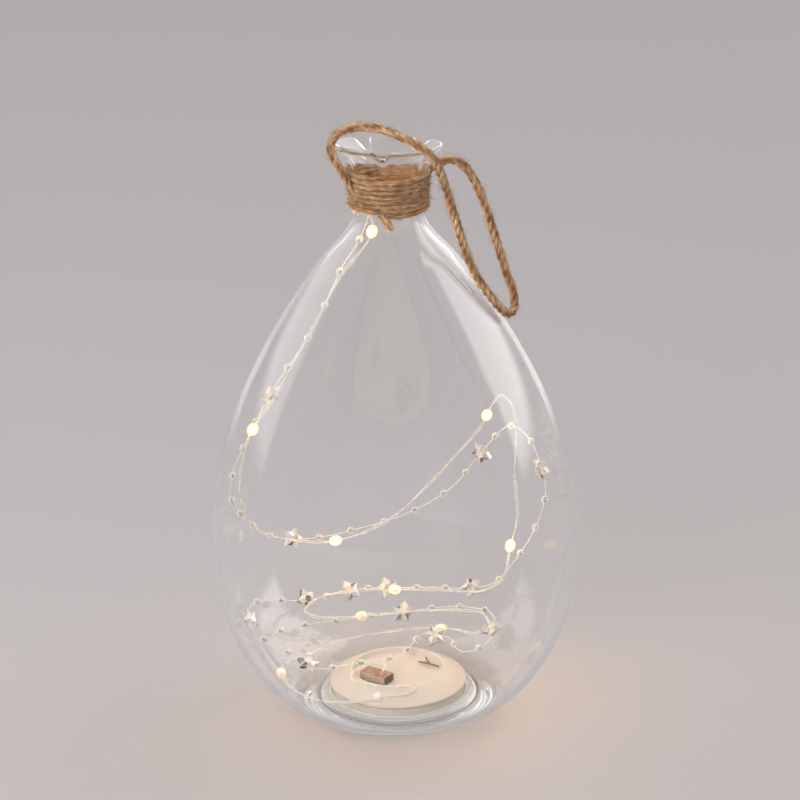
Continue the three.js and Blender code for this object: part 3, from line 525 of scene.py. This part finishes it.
def middle(node):
    """The middle of a solid's box."""
    low, high = (Vector(corner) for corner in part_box(node))
    return (low + high) / 2


def nearest(points, wanted):
    """The number of the point nearest to a wanted place."""
    return min(range(len(points)), key=lambda i: (points[i] - wanted).length_squared)


star_names = sorted(name for name in nodes if name.startswith("star_"))
star_at = [nearest(line_path, middle(name)) * line_step for name in star_names]


def bead_distances():
    """How far along the line each bead lies: evenly between one star and the next."""
    stops = [0.0, *star_at, line_length]
    straight = STAR_TIP_R + 1.2
    found = []
    for i, (start, end) in enumerate(zip(stops, stops[1:])):
        start += straight if i else 2.0
        end -= straight if i < len(stops) - 2 else 2.0
        count = max(1, round((end - start) / BEAD_PITCH))
        found += [start + (k + 0.5) * (end - start) / count for k in range(count)]
    return found


def clear_bead():
    made, tree = material("moulded_clear_bead_painted_rim")
    relief = bump(tree, noise(tree, 1.4, 2.0), 0.04)
    # Painted bright rim: the bead turns from clear to milky white as it is seen more edge-on.
    edge = add(tree, "LayerWeight", {"Blend": 0.5}).outputs["Facing"]
    limits = {"From Min": 0.1, "From Max": 0.6, "To Min": 0.9, "To Max": 0.1}
    clear = add(tree, "MapRange", limits, {"Value": edge}).outputs["Result"]
    values = {"Base Color": linear("fdfaf4"), "Roughness": 0.05, "IOR": 1.54, "Coat Weight": 0.5}
    shader = principled(tree, values, Normal=relief, Transmission_Weight=clear)
    surface(tree, lets_light_through(tree, shader, "dcdcdc"))
    return made


def silver_lining():
    made, tree = material("silvered_lining")
    shade = between(tree, noise(tree, 0.7, 2.0), 0.08, 0.3)
    colour = ramp(tree, noise(tree, 0.9, 2.0), (0.42, "8d8478"), (0.58, "fffaf0"))
    surface(tree, principled(tree, {"Metallic": 0.5}, Base_Color=colour, Roughness=shade))
    return made


def moulded_beads():
    """Every bead as a ball turned along the line, with a silvered drop inside it as a second material."""
    bm = bmesh.new()
    rng = random.Random(5)
    for distance in bead_distances():
        at = on_line(distance)
        way = (on_line(distance + 1.5) - on_line(distance - 1.5)).normalized()
        size = BEAD_D / 2 * rng.uniform(0.94, 1.0) * MM
        place = Matrix.Translation(at) @ way.to_track_quat("Z", "Y").to_matrix().to_4x4()
        shape = place @ Matrix.Diagonal((size * 0.96, size * 0.96, size, 1.0))
        bmesh.ops.create_uvsphere(bm, u_segments=20, v_segments=14, radius=1.0, matrix=shape)
        count = len(bm.faces)
        core = place @ Matrix.Diagonal((LINING_R * MM, LINING_R * MM, size * 0.78, 1.0))
        bmesh.ops.create_uvsphere(bm, u_segments=12, v_segments=8, radius=1.0, matrix=core)
        bm.faces.ensure_lookup_table()
        for face in bm.faces[count:]:
            face.material_index = 1
    return finished("beads_moulded", bm)


def finished(name, bm, smooth=True):
    """A mesh object from a bmesh, its normals turned outwards."""
    bmesh.ops.recalc_face_normals(bm, faces=bm.faces)
    mesh = bpy.data.meshes.new(name)
    bm.to_mesh(mesh)
    bm.free()
    if smooth:
        mesh.shade_smooth()
    piece = bpy.data.objects.new(name, mesh)
    bpy.context.collection.objects.link(piece)
    return piece


lining = silver_lining()
line = tubes("bead_line_drawn", [line_path], LINE_D / 2 * 0.8, 2)
line.data.materials.append(evenly_coloured("drawn_pearly_nylon", 1.0, 0.15, 0.3, {
    "Base Color": linear("fdfaf5"), "Coat Weight": 0.6, "Coat Roughness": 0.05,
}))
beads = moulded_beads()
beads.data.materials.append(clear_bead())
beads.data.materials.append(lining)
print("bead line:", round(line_length), "mm,", len(bead_distances()), "beads,", len(star_names), "stars")

# %% [markdown]
# ## Stars
#
# The stars are pressed and cut crystal: five blunt points, facets that rise to a small flat table on each side, and a
# vapour coat thinner than a hair's hundredth part, whose film flashes blue, pink or green. Each facet takes one of
# five materials at random, pale, silvered, clear, blue and dark, which are painted flashes and painted dark
# reflections. The first star hangs clear of the glass and faces the front, and the others turn one flat side to the
# inside of the jar.

# %% Stars
BELLY_Z = 83.0
STAR_EDGE = 1.9
STAR_TABLE = 1.9
STAR_ROUND = 0.12
HOLE_HALF = 6.6
FREE_STAR_FACES_Y = -60.0
STAR_FACES_Y = -15.0


def crystal(name, dark, light, metal, clear, film):
    """A facet's finish: its colours, how much mirrors, how much is clear, and its film's thickness in nm."""
    made, tree = material(name)
    thick = between(tree, noise(tree, 4.0, 1.0), film - 60.0, film + 60.0)
    shade = between(tree, noise(tree, 0.8, 2.0), 0.03, 0.14)
    colour = ramp(tree, noise(tree, 2.5, 2.0), (0.4, dark), (0.6, light))
    values = {
        "Metallic": metal,
        "IOR": 1.6,
        "Transmission Weight": clear,
        "Thin Film IOR": 1.8,
        "Coat Weight": 0.8,
        "Coat Roughness": 0.02,
    }
    shader = principled(tree, values, Base_Color=colour, Roughness=shade, Thin_Film_Thickness=thick)
    surface(tree, lets_light_through(tree, shader, "d8dcea"))
    return made


def cut_star(name, at, along, face, rng):
    """A star with its first tip along the line and one side turned to face."""
    bm = bmesh.new()
    made = bmesh.ops.create_circle(bm, cap_ends=True, segments=10, radius=STAR_TIP_R * MM)
    rim = sorted(made["verts"], key=lambda v: math.atan2(v.co.y, v.co.x))
    first = min(range(10), key=lambda i: (rim[i].co.normalized() - Vector((0, 1, 0))).length)
    for i, vert in enumerate(rim):
        if (i - first) % 2:
            vert.co = vert.co.normalized() * STAR_NOTCH_R * MM
        vert.co.z -= STAR_EDGE / 2 * MM
    front = bmesh.ops.extrude_face_region(bm, geom=bm.faces[:])
    raised = [v for v in front["geom"] if isinstance(v, bmesh.types.BMVert)]
    bmesh.ops.translate(bm, verts=raised, vec=(0, 0, STAR_EDGE * MM))
    bmesh.ops.recalc_face_normals(bm, faces=bm.faces)
    flats = [f for f in bm.faces if len(f.verts) == 10]
    peaks = [bmesh.ops.poke(bm, faces=[flat])["verts"][0] for flat in flats]
    for peak in peaks:
        peak.co.z = math.copysign(STAR_T / 2 * MM, peak.co.z)
    bmesh.ops.bevel(
        bm, geom=peaks, affect="VERTICES", offset=STAR_TABLE * MM, segments=1, profile=0.5, material=-1,
    )
    # Each facet takes one painted tone at random, pale most often: painted flashes and painted dark reflections.
    for facet in bm.faces:
        facet.material_index = rng.choice((0, 0, 0, 0, 1, 1, 2, 2, 3, 4))
    bmesh.ops.bevel(
        bm, geom=bm.edges[:], affect="EDGES", offset=STAR_ROUND * MM, segments=2, profile=0.5, material=0,
    )
    across = along.cross(face)
    turn = Matrix((across, along, face)).transposed().to_4x4()
    bmesh.ops.transform(bm, matrix=Matrix.Translation(at) @ turn, verts=bm.verts)
    return finished(name, bm, smooth=False)


# Light and dark copies of one crystal: painted flashes and painted dark reflections of cut facets.
painted_facet_tones = [
    crystal("cut_crystal_pearl", "ece2d2", "fffaf0", 0.15, 0.15, 300.0),
    crystal("cut_crystal_silvered", "cfc6b8", "fbf5ea", 0.6, 0.3, 340.0),
    crystal("cut_crystal_clear", "e8e2da", "fbf8f2", 0.1, 0.75, 260.0),
    crystal("cut_crystal_painted_blue_flash", "7f92ad", "c3cedd", 0.45, 0.3, 420.0),
    crystal("cut_crystal_painted_dark_reflection", "6f6a62", "a8a298", 0.75, 0.3, 540.0),
]
rng = random.Random(21)
stars = []
for name, distance in zip(star_names, star_at):
    before, after = on_line(distance - HOLE_HALF), on_line(distance + HOLE_HALF)
    along = (after - before).normalized()
    at = (before + after) / 2
    faces_y = STAR_FACES_Y if stars else FREE_STAR_FACES_Y
    face = Vector((0, faces_y, BELLY_Z)) * MM - at
    face = (face - along * face.dot(along)).normalized()
    star = cut_star(name + "_cut", at, along, face, rng)
    for finish in painted_facet_tones:
        star.data.materials.append(finish)
    stars.append(star)
print("stars:", len(stars), "of", len(stars[0].data.polygons), "faces")

# %% [markdown]
# ## Lights
#
# Each light is a chip no larger than a grain, bridging the two wires, with a drop of epoxy cast over it. The chip
# glows warm white on one side only, so a light that faces the front dazzles and one that faces away is dim. The light
# in the neck faces up and lights the twine. The drop in front of the block is milky and hides its chip.

# %% Lights
LIGHT_D = 4.6
LIGHT_L = 6.0
CHIP_R = 1.0
CHIP_HALF = 1.3
FACING_FRONT = Vector((0.1, -1.0, 0.1))
FACING_UP = Vector((-0.1, -0.7, 0.7))
FACING_BACK = Vector((0.2, 0.9, 0.4))
light_names = sorted(name for name in nodes if name.startswith("light_") and name[-1].isdigit())


def cast_epoxy(name, colour, clear, glow):
    """Cast resin: how clear its middle is, and the strength of a painted glow on its edge."""
    made, tree = material(name)
    values = {"Base Color": linear(colour), "Roughness": 0.08, "IOR": 1.5, "Emission Color": linear("ffb968")}
    relief = bump(tree, noise(tree, 1.6, 1.0), 0.03)
    # Painted glow: the edge turns milky and emits warm light, standing in for chip light scattered in the resin.
    edge = add(tree, "LayerWeight", {"Blend": 0.5}).outputs["Facing"]
    path = add(tree, "LightPath").outputs["Glossy Depth"]
    direct = reckoned(tree, "LESS_THAN", path, 0.5)
    painted_edge_glow = reckoned(tree, "MULTIPLY", reckoned(tree, "MULTIPLY", edge, glow), direct)
    limits = {"From Min": 0.2, "From Max": 0.8, "To Min": clear, "To Max": 0.1}
    through = add(tree, "MapRange", limits, {"Value": edge}).outputs["Result"]
    links = {"Normal": relief, "Transmission_Weight": through, "Emission_Strength": painted_edge_glow}
    surface(tree, lets_light_through(tree, principled(tree, values, **links), "ffffff"))
    return made


def lit_chip(name, strength, mirrored):
    """The glow of a chip: its strength, and the strength at which polished glass shows it."""
    made, tree = material(name)
    values = {"Base Color": linear("fff0c8"), "Roughness": 0.5, "Emission Color": linear("ffc474")}
    direct = principled(tree, {**values, "Emission Strength": strength})
    faint = principled(tree, {**values, "Emission Strength": mirrored})
    path = add(tree, "LightPath").outputs["Glossy Depth"]
    surface(tree, mixed(tree, reckoned(tree, "GREATER_THAN", path, 0.5), direct, faint))
    return made


def cast_drop(name, at, along, facing, long):
    """A drop of epoxy that many mm long on the wire; inside it a chip whose faces are lit on one side."""
    bm = bmesh.new()
    place = Matrix.Translation(at) @ along.to_track_quat("Z", "Y").to_matrix().to_4x4()
    drop = place @ Matrix.Diagonal((LIGHT_D / 2 * MM, LIGHT_D / 2 * MM, long / 2 * MM, 1.0))
    bmesh.ops.create_uvsphere(bm, u_segments=24, v_segments=18, radius=1.0, matrix=drop)
    count = len(bm.faces)
    chip = place @ Matrix.Diagonal((CHIP_R * MM, CHIP_R * MM, CHIP_HALF * MM, 1.0))
    bmesh.ops.create_icosphere(bm, subdivisions=2, radius=1.0, matrix=chip)
    bm.faces.ensure_lookup_table()
    bm.normal_update()
    for face in bm.faces[count:]:
        face.material_index = 1 if face.normal.dot(facing) > 0 else 2
    return finished(name, bm)


# The edges of the clear drops carry a painted glow; the milky drop has none.
clear_epoxy = cast_epoxy("cast_clear_epoxy_painted_glow", "fff6e8", 0.8, 2.2)
faint_epoxy = cast_epoxy("cast_faint_epoxy_painted_glow", "fdf8f0", 0.5, 0.3)
milky_epoxy = cast_epoxy("cast_milky_epoxy", "f8f2f6", 0.2, 0.0)
neck_chip = lit_chip("lit_phosphor_chip_neck", 2200.0, 1.4)
bright_chip = lit_chip("lit_phosphor_chip", 950.0, 1.4)
half_chip = lit_chip("lit_phosphor_chip_half", 60.0, 0.8)
dim_chip = lit_chip("lit_phosphor_chip_dim", 3.0, 0.8)
base = evenly_coloured("sintered_chip_base", 0.3, 0.45, 0.55, {"Base Color": linear("e8e0c8")})
usual = (FACING_FRONT, LIGHT_L, clear_epoxy, bright_chip)
dim = (FACING_BACK, LIGHT_L, faint_epoxy, dim_chip)
unusual = {
    "light_01": (FACING_UP, LIGHT_L, clear_epoxy, neck_chip),
    "light_06": (FACING_BACK, LIGHT_L, faint_epoxy, half_chip),
    "light_07": dim,
    "light_08": dim,
    "light_09": dim,
    "light_10": (FACING_BACK, LIGHT_D, milky_epoxy, base),
}
drops = []
for name in light_names:
    facing, long, epoxy, chip = unusual.get(name, usual)
    i = nearest(wire_path, middle(name))
    drop = cast_drop(name + "_cast", wire_path[i], directions(wire_path)[i], facing, long)
    for finish in (epoxy, chip, base):
        drop.data.materials.append(finish)
    drops.append(drop)
print("lights:", len(drops), "of", len(drops[0].data.polygons), "faces")

# %% [markdown]
# ## Turned pieces
#
# The jar and the housing are round about one axis, so each is one outline turned once round. Sharp corners of an
# outline are rounded first, as moulds and fire-polishing round them.

# %% Turned pieces
def rounded(corners):
    """An outline in mm whose corners are (r, z) or (r, z, radius of the round corner)."""
    points = []
    count = len(corners)
    for i, corner in enumerate(corners):
        here = Vector(corner[:2])
        if len(corner) < 3:
            points.append(here)
            continue
        before = Vector(corners[i - 1][:2]) - here
        after = Vector(corners[(i + 1) % count][:2]) - here
        reach = min(corner[2], before.length * 0.45, after.length * 0.45)
        a, b = here + before.normalized() * reach, here + after.normalized() * reach
        for k in range(6):
            t = k / 5
            points.append((1 - t) ** 2 * a + 2 * t * (1 - t) * here + t**2 * b)
    return points


def turned(name, outline, steps, closed=True):
    """An outline in mm, turned once round the Z axis in a number of steps."""
    bm = bmesh.new()
    corners = [bm.verts.new((p[0] * MM, 0.0, p[1] * MM)) for p in outline]
    pairs = list(zip(corners, corners[1:]))
    if closed:
        pairs.append((corners[-1], corners[0]))
    edges = [bm.edges.new(pair) for pair in pairs]
    bmesh.ops.spin(
        bm, geom=corners + edges, cent=(0, 0, 0), axis=(0, 0, 1), dvec=(0, 0, 0),
        angle=2 * math.pi, steps=steps, use_merge=True, use_duplicate=False,
    )
    bmesh.ops.remove_doubles(bm, verts=bm.verts, dist=1e-6)
    return finished(name, bm)


def bezier(a, b, c, d, count):
    """Points on a curve with two handles, without its first one."""
    found = []
    for k in range(1, count + 1):
        t = k / count
        found.append((1 - t) ** 3 * a + 3 * t * (1 - t) ** 2 * b + 3 * t**2 * (1 - t) * c + t**3 * d)
    return found


# %% [markdown]
# ## Glass jar
#
# The jar is blown into a mould as one bubble, 2.2 mm thick. Its foot is a narrow ring, its belly is widest a third of
# the way up, and its sides run almost straight up into the neck. The mouth is opened while hot and pinched at five
# places, and its edge is polished in a flame, which leaves it round. Blown glass is never quite even, and very long,
# very shallow waves in it bend what is seen through it. Light that is caught between the two faces of a thick edge is
# let out after its third mirroring, because a renderer that stops counting there would leave the edge black.

# %% Glass jar
GLASS_IOR = 1.5
GLASS = 2.2
FOOT_R = 36.6
BELLY_R = 79.9
SHOULDER = Vector((27.2, 208.0))
SHOULDER_LEAN = 0.65
LIP_Z = NECK_Z + NECK_H
LIP_RISE = 10.6
LIP_FLARE = 7.3
LIP_LOBES = 5
NOTCH_AZIMUTH = math.radians(263)
NOTCH_HALF_ANGLE = math.radians(8.5)
NOTCH_DROP = 3.8
NOTCH_IN = 4.5
LIP_SAG = 4.5
LIP_SAG_AZIMUTH = math.radians(75)
HOLE_R = 31.2
HOLE_TOP = 6.6
RECESS_Z = 4.0
RECESS_R = 34.4


def jar_outline():
    """Outer curve from foot to lip, round lip, inner curve back down, and the hole in the base."""
    lean = Vector((-math.sin(SHOULDER_LEAN), math.cos(SHOULDER_LEAN)))
    foot, belly = Vector((FOOT_R, 0.0)), Vector((BELLY_R, BELLY_Z))
    neck, top = Vector((NECK_R, NECK_Z)), Vector((NECK_R + NECK_FLARE, LIP_Z))
    rise = SHOULDER.y - BELLY_Z
    low = Vector((FOOT_R + 0.75 * (BELLY_R - FOOT_R), 0.145 * BELLY_Z))
    outer = [foot, *bezier(foot, low, Vector((BELLY_R, 0.58 * BELLY_Z)), belly, 40)]
    outer += bezier(belly, Vector((BELLY_R, BELLY_Z + 0.32 * rise)), SHOULDER - 0.39 * rise * lean, SHOULDER, 44)
    outer += bezier(SHOULDER, SHOULDER + 2.94 * lean, Vector((NECK_R, NECK_Z - 8.2)), neck, 16)
    outer += bezier(neck, neck.lerp(top, 0.33), neck.lerp(top, 0.67), top, 6)
    edge = top + Vector((LIP_FLARE, LIP_RISE))
    bend = top + Vector((0.2 * LIP_FLARE, 0.6 * LIP_RISE))
    outer += bezier(top, top.lerp(bend, 0.67), edge.lerp(bend, 0.67), edge, 12)
    inner = []
    for i, point in enumerate(outer):
        way = (outer[min(i + 1, len(outer) - 1)] - outer[max(i - 1, 0)]).normalized()
        inner.append(point + GLASS * Vector((-way.y, way.x)))
    middle_of_lip = (outer[-1] + inner[-1]) / 2
    spoke = outer[-1] - middle_of_lip
    lip = []
    for k in range(1, 8):
        a = math.pi * k / 8
        lip.append(middle_of_lip + Matrix.Rotation(a, 2) @ spoke)
    inside = [p for p in reversed(inner) if p.y > HOLE_TOP + 0.8]
    base = rounded([
        tuple(inside[-1]),
        (inside[-1].x - 4.5, HOLE_TOP, 4.0),
        (HOLE_R, HOLE_TOP, 1.6),
        (HOLE_R, RECESS_Z, 0.8),
        (RECESS_R, RECESS_Z, 1.2),
        (FOOT_R - 2.0, 0.0, 0.6),
        (FOOT_R, 0.0, 0.6),
        tuple(outer[1]),
    ])
    return outer[1:] + lip + inside[:-1] + base[:-1]


def pinched(piece):
    """Draws the lip in and down at each of its notches, and lets it sag at the back right."""
    for vert in piece.data.vertices:
        lift = (vert.co.z / MM - LIP_Z) / LIP_RISE
        if lift > 0:
            azimuth = math.atan2(vert.co.y, vert.co.x) - NOTCH_AZIMUTH
            from_notch = math.asin(math.sin(LIP_LOBES / 2 * azimuth)) / (LIP_LOBES / 2)
            pinch = math.exp(-((from_notch / NOTCH_HALF_ANGLE) ** 4))
            from_sag = math.atan2(vert.co.y, vert.co.x) - LIP_SAG_AZIMUTH
            drop = NOTCH_DROP * pinch + LIP_SAG / 2 * (1 + math.cos(from_sag))
            r = math.hypot(vert.co.x, vert.co.y)
            pulled = (r - NOTCH_IN * MM * pinch * lift**1.4) / r
            vert.co.x *= pulled
            vert.co.y *= pulled
            vert.co.z -= drop * MM * lift


def blown_glass():
    made, tree = material("blown_soda_lime_glass")
    waves = bump(tree, noise(tree, 40.0, 1.0, 0.4), 0.15)
    values = {"Base Color": linear("ffffff"), "Roughness": 0.0, "IOR": GLASS_IOR, "Transmission Weight": 1.0}
    path = add(tree, "LightPath").outputs["Glossy Depth"]
    limits = {"From Min": 2.0, "From Max": 3.0, "To Min": GLASS_IOR, "To Max": 1.0}
    bends = add(tree, "MapRange", limits, {"Value": path}).outputs["Result"]
    shader = principled(tree, values, Normal=waves, IOR=bends)
    surface(tree, lets_light_through(tree, shader, "fbfcfb"))
    return made


jar = turned("glass_jar_blown", jar_outline(), 192)
pinched(jar)
jar.data.materials.append(blown_glass())
print("glass jar:", len(jar.data.polygons), "faces, box in mm", [round(d / MM, 1) for d in jar.dimensions])

# %% [markdown]
# ## Battery unit
#
# The unit is moulded in creamy white ABS: a cup with a sloped rim that lies on the glass, a raised crest and a flat
# dish. The plastic lets a little light in, so its edges look soft, and its faces have the faint orange-peel of a
# polished mould.

# %% Battery unit
UNIT_Z = 2.7
BARREL_R = 29.58
BARREL_IN = 27.98
RIM_R = 30.38
DISH_Z = 14.2
ROOF_Z = 13.0
CREST_Z = 16.4


def moulded_plastic(name, colour, roughness, scatter=0.0):
    """Plastic with the orange-peel of a polished mould; scatter is how much light it lets in."""
    made, tree = material(name)
    shade = between(tree, noise(tree, 2.2, 2.0), *roughness)
    relief = bump(tree, noise(tree, 0.6, 2.0), 0.006)
    values = {
        "Base Color": linear(colour),
        "Subsurface Weight": scatter,
        "Subsurface Radius": (1.0, 0.8, 0.6),
        "Subsurface Scale": 1.5 * MM,
    }
    surface(tree, principled(tree, values, Roughness=shade, Normal=relief))
    return made


white_plastic = moulded_plastic("moulded_abs_creamy_white", "dccfc2", (0.28, 0.4), 0.12)
housing = turned("battery_housing_moulded", rounded([
    (0.0, DISH_Z), (19.4, DISH_Z, 0.5), (20.0, CREST_Z, 0.5), (21.0, CREST_Z, 0.6), (RIM_R, 11.0, 0.5),
    (RIM_R, 10.1, 0.3), (BARREL_R, 9.3, 0.2), (BARREL_R, UNIT_Z, 0.3), (BARREL_IN, UNIT_Z, 0.3),
    (BARREL_IN, 9.9, 0.8), (22.0, 13.2, 0.5), (19.5, ROOF_Z, 0.4), (0.0, ROOF_Z),
]), 160, closed=False)
housing.data.materials.append(white_plastic)
print("housing:", len(housing.data.polygons), "faces")

# %% [markdown]
# ## Block, joint and leads on the dish
#
# The light wire starts at a small block of board, fixed over the window that the leads come up through. Its sides are
# taupe, its top is reddish where the wires are soldered, and both its ends are painted dark brown: painted shade
# for the end that lies in shadow. A dull joint of two thin wires lies at the right of the dish.

# %% Block and joint
BLOCK = (13.6, 7.0, 3.6)
BLOCK_AT = (-9.5, -9.0, 16.3)
BLOCK_TURN = math.radians(-36)
JOINT_Z = 15.3


def brown_board(name, dark, middle, light):
    made, tree = material(name)
    colour = ramp(tree, noise(tree, 1.1, 4.0), (0.35, dark), (0.5, middle), (0.68, light))
    relief = bump(tree, noise(tree, 0.3, 3.0), 0.03)
    surface(tree, principled(tree, {"Roughness": 0.6}, Base_Color=colour, Normal=relief))
    return made


def board_block():
    bm = bmesh.new()
    place = Matrix.Translation(Vector(BLOCK_AT) * MM) @ Matrix.Rotation(BLOCK_TURN, 4, "Z")
    shape = Matrix.Diagonal((*[side * MM for side in BLOCK], 1.0))
    bmesh.ops.create_cube(bm, size=1.0, matrix=place @ shape)
    bmesh.ops.bevel(
        bm, geom=bm.edges[:], affect="EDGES", offset=0.25 * MM, segments=3, profile=0.5, material=-1,
    )
    # Both ends of the block take the dark brown, a painted shade for the end in shadow.
    shaded_end_axis = Vector((math.cos(BLOCK_TURN), math.sin(BLOCK_TURN), 0))
    bm.normal_update()
    for face in bm.faces:
        if face.normal.z > 0.9:
            face.material_index = 1
        elif abs(face.normal.dot(shaded_end_axis)) > 0.9:
            face.material_index = 2
    return finished("wire_block_pressed", bm)


black_plastic = moulded_plastic("moulded_black_nylon", "1e1e20", (0.4, 0.6))
block = board_block()
block.data.materials.append(brown_board("pressed_taupe_board", "a08b79", "b59f8b", "c9b5a2"))
block.data.materials.append(brown_board("tinned_copper_face", "7d5140", "ab7c66", "cfa690"))
block.data.materials.append(brown_board("painted_shade_end_brown", "43301f", "5c4431", "775b44"))
STEM_ROUTE = [(18, 1.2, JOINT_Z), (15.2, 3.4, JOINT_Z), (12.2, 5.4, JOINT_Z), (9.2, 6.8, JOINT_Z)]
ARM_ROUTE = [(14.4, 4, JOINT_Z), (13.2, 7.2, JOINT_Z), (12.6, 10.8, JOINT_Z)]
joint = tubes("wire_joint_sleeved", [smooth_path(route, 0.3) for route in (STEM_ROUTE, ARM_ROUTE)], 0.45, 3)
joint.data.materials.append(moulded_plastic("shrunk_sleeve_grey_brown", "84796a", (0.4, 0.6)))

# %% [markdown]
# ## Parts that the photograph hides
#
# Under the housing lie the seal, the bottom ring, the battery cover with its two lugs, two cells with their springs
# and plates, and a board with its timer chip, crystal and slide switch. They keep their solids and get the finish
# that such parts have.

# %% Hidden parts
steel = evenly_coloured("nickel_plated_spring_steel", 0.8, 0.2, 0.38, {
    "Base Color": linear("cfccc6"), "Metallic": 1.0,
})
silicone = evenly_coloured("moulded_translucent_silicone", 1.5, 0.45, 0.6, {
    "Base Color": linear("dcdedc"), "Subsurface Weight": 0.5, "Subsurface Radius": (1.0, 1.0, 1.0),
    "Subsurface Scale": 1.5 * MM,
})
jacket = moulded_plastic("shrunk_cell_sleeve_green", "3c6e54", (0.25, 0.35))
board = moulded_plastic("solder_mask_green", "2f6b45", (0.35, 0.5))
red_sleeve = moulded_plastic("drawn_red_sleeve", "b03028", (0.35, 0.5))
for finish, names in (
    (silicone, "base_seal"),
    (white_plastic, "bottom_ring battery_cover"),
    (jacket, "battery_1 battery_2"),
    (steel, "contact_spring_1 contact_spring_2 bridge_plate plate_negative plate_positive timer_crystal"),
    (board, "circuit_board"),
    (black_plastic, "timer_chip switch_body switch_knob lead_negative"),
    (red_sleeve, "lead_positive"),
):
    for name in names.split():
        nodes[name].data.materials.clear()
        nodes[name].data.materials.append(finish)

# %% [markdown]
# ## Assembly
#
# Each new piece rides on the jar's body and hides the solids it stands for.

# %% Assembly
def settle(piece, slot, *stands_for):
    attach(piece, "jar")
    if stands_for:
        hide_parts(*stands_for)


settle(jar, "clear_glass", "glass_jar")
settle(rope, "jute", "rope_handle")
settle(twine, "jute", "neck_twine")
for loose in (rope_fuzz, twine_fuzz, edge_fuzz, twine_tail, tail_fuzz):
    settle(loose, "jute")
settle(wire, "silver_wire", "light_wire")
settle(line, "clear_bead", "bead_line")
settle(beads, "clear_bead")
settle(housing, "white_plastic", "battery_housing")
settle(block, "brown_plastic", "wire_block")
settle(joint, "black_plastic", "wire_joint")
for star, name in zip(stars, star_names):
    settle(star, "crystal", name)
for drop, name in zip(drops, light_names):
    settle(drop, "lamp", name)

# %% [markdown]
# ## Floor and light
#
# The jar stands on a plain pale floor. Close to the floor the sky is as bright as the floor, so the glass shows no
# horizon, and higher up it is dim, which gives the beads and stars their dark sides. Two broad soft windows, from
# behind the jar round to its right and its left, grow brighter to the side, and make the pale bands along the edges of
# the glass. One soft lamp from the upper left, which the glass doesn't mirror, gives most of the light.

# %% Floor and light
FLOOR = "bab6b9"
SKY_LOW = 0.5
SKY_HIGH = 0.38
WINDOW_TOP = 0.9
LAMP_AT = Vector((-1.0, -1.5, 1.2))
LAMP_AIM = Vector((0, 0, 0.12))
LAMP_SIZE = 1.4
LAMP_POWER = 33.0
RIGHT_WINDOW = (-20.0, 82.0, 2.1)
LEFT_WINDOW = (10.0, -78.0, 1.2)


def in_range(tree, source, start, end, value):
    """A number that grows smoothly from 0 to a value while the source goes from start to end."""
    limits = {"From Min": start, "From Max": end, "To Min": 0.0, "To Max": value}
    return add(tree, "MapRange", limits, {"Value": source}, interpolation_type="SMOOTHSTEP").outputs["Result"]


def soft_sky():
    """A sky that dims upwards, with soft windows: each an azimuth from behind where it begins, one where it
    is brightest and stops, and its brightness."""
    world = bpy.data.worlds.new("sky")
    world.use_nodes = True
    tree = world.node_tree
    tree.nodes.clear()
    direction = add(tree, "TexCoord").outputs["Generated"]
    parts = add(tree, "SeparateXYZ", links={0: direction}).outputs
    azimuth = reckoned(tree, "ARCTAN2", parts["X"], parts["Y"])
    height = parts["Z"]
    limits = {"From Min": 0.0, "From Max": 0.6, "To Min": SKY_LOW, "To Max": SKY_HIGH}
    strength = add(tree, "MapRange", limits, {"Value": height}).outputs["Result"]
    risen = in_range(tree, height, 0.0, 0.12, 1.0)
    not_high = in_range(tree, height, WINDOW_TOP + 0.1, WINDOW_TOP - 0.1, 1.0)
    tall = reckoned(tree, "MULTIPLY", risen, not_high)
    for start, end, brightness in (RIGHT_WINDOW, LEFT_WINDOW):
        begun, stopped = math.radians(start), math.radians(end)
        grown = in_range(tree, azimuth, begun, stopped, brightness)
        going_on = in_range(tree, azimuth, stopped * 1.08, stopped * 1.02, 1.0)
        window = reckoned(tree, "MULTIPLY", reckoned(tree, "MULTIPLY", grown, going_on), tall)
        strength = reckoned(tree, "ADD", window, strength)
    sky = add(tree, "Background", {"Color": linear("fbf8f5")}, {"Strength": strength})
    add(tree, "OutputWorld", links={"Surface": sky.outputs["Background"]})
    bpy.context.scene.world = world


bm = bmesh.new()
bmesh.ops.create_grid(bm, x_segments=2, y_segments=2, size=6.0)
floor = finished("floor", bm)
paint, tree = material("pale_floor")
surface(tree, principled(tree, {"Base Color": linear(FLOOR), "Roughness": 0.7, "Specular IOR Level": 0.2}))
floor.data.materials.append(paint)
soft_sky()

lamp = bpy.data.lights.new("key_upper_left", "AREA")
lamp.size = LAMP_SIZE
lamp.energy = LAMP_POWER
lamp.color = linear("fffcf8")[:3]
key = bpy.data.objects.new("key_upper_left", lamp)
bpy.context.collection.objects.link(key)
key.location = LAMP_AT
key.rotation_euler = (LAMP_AIM - LAMP_AT).to_track_quat("-Z", "Y").to_euler()
key.visible_glossy = False
key.visible_transmission = False

bpy.context.scene.view_settings.view_transform = "Standard"
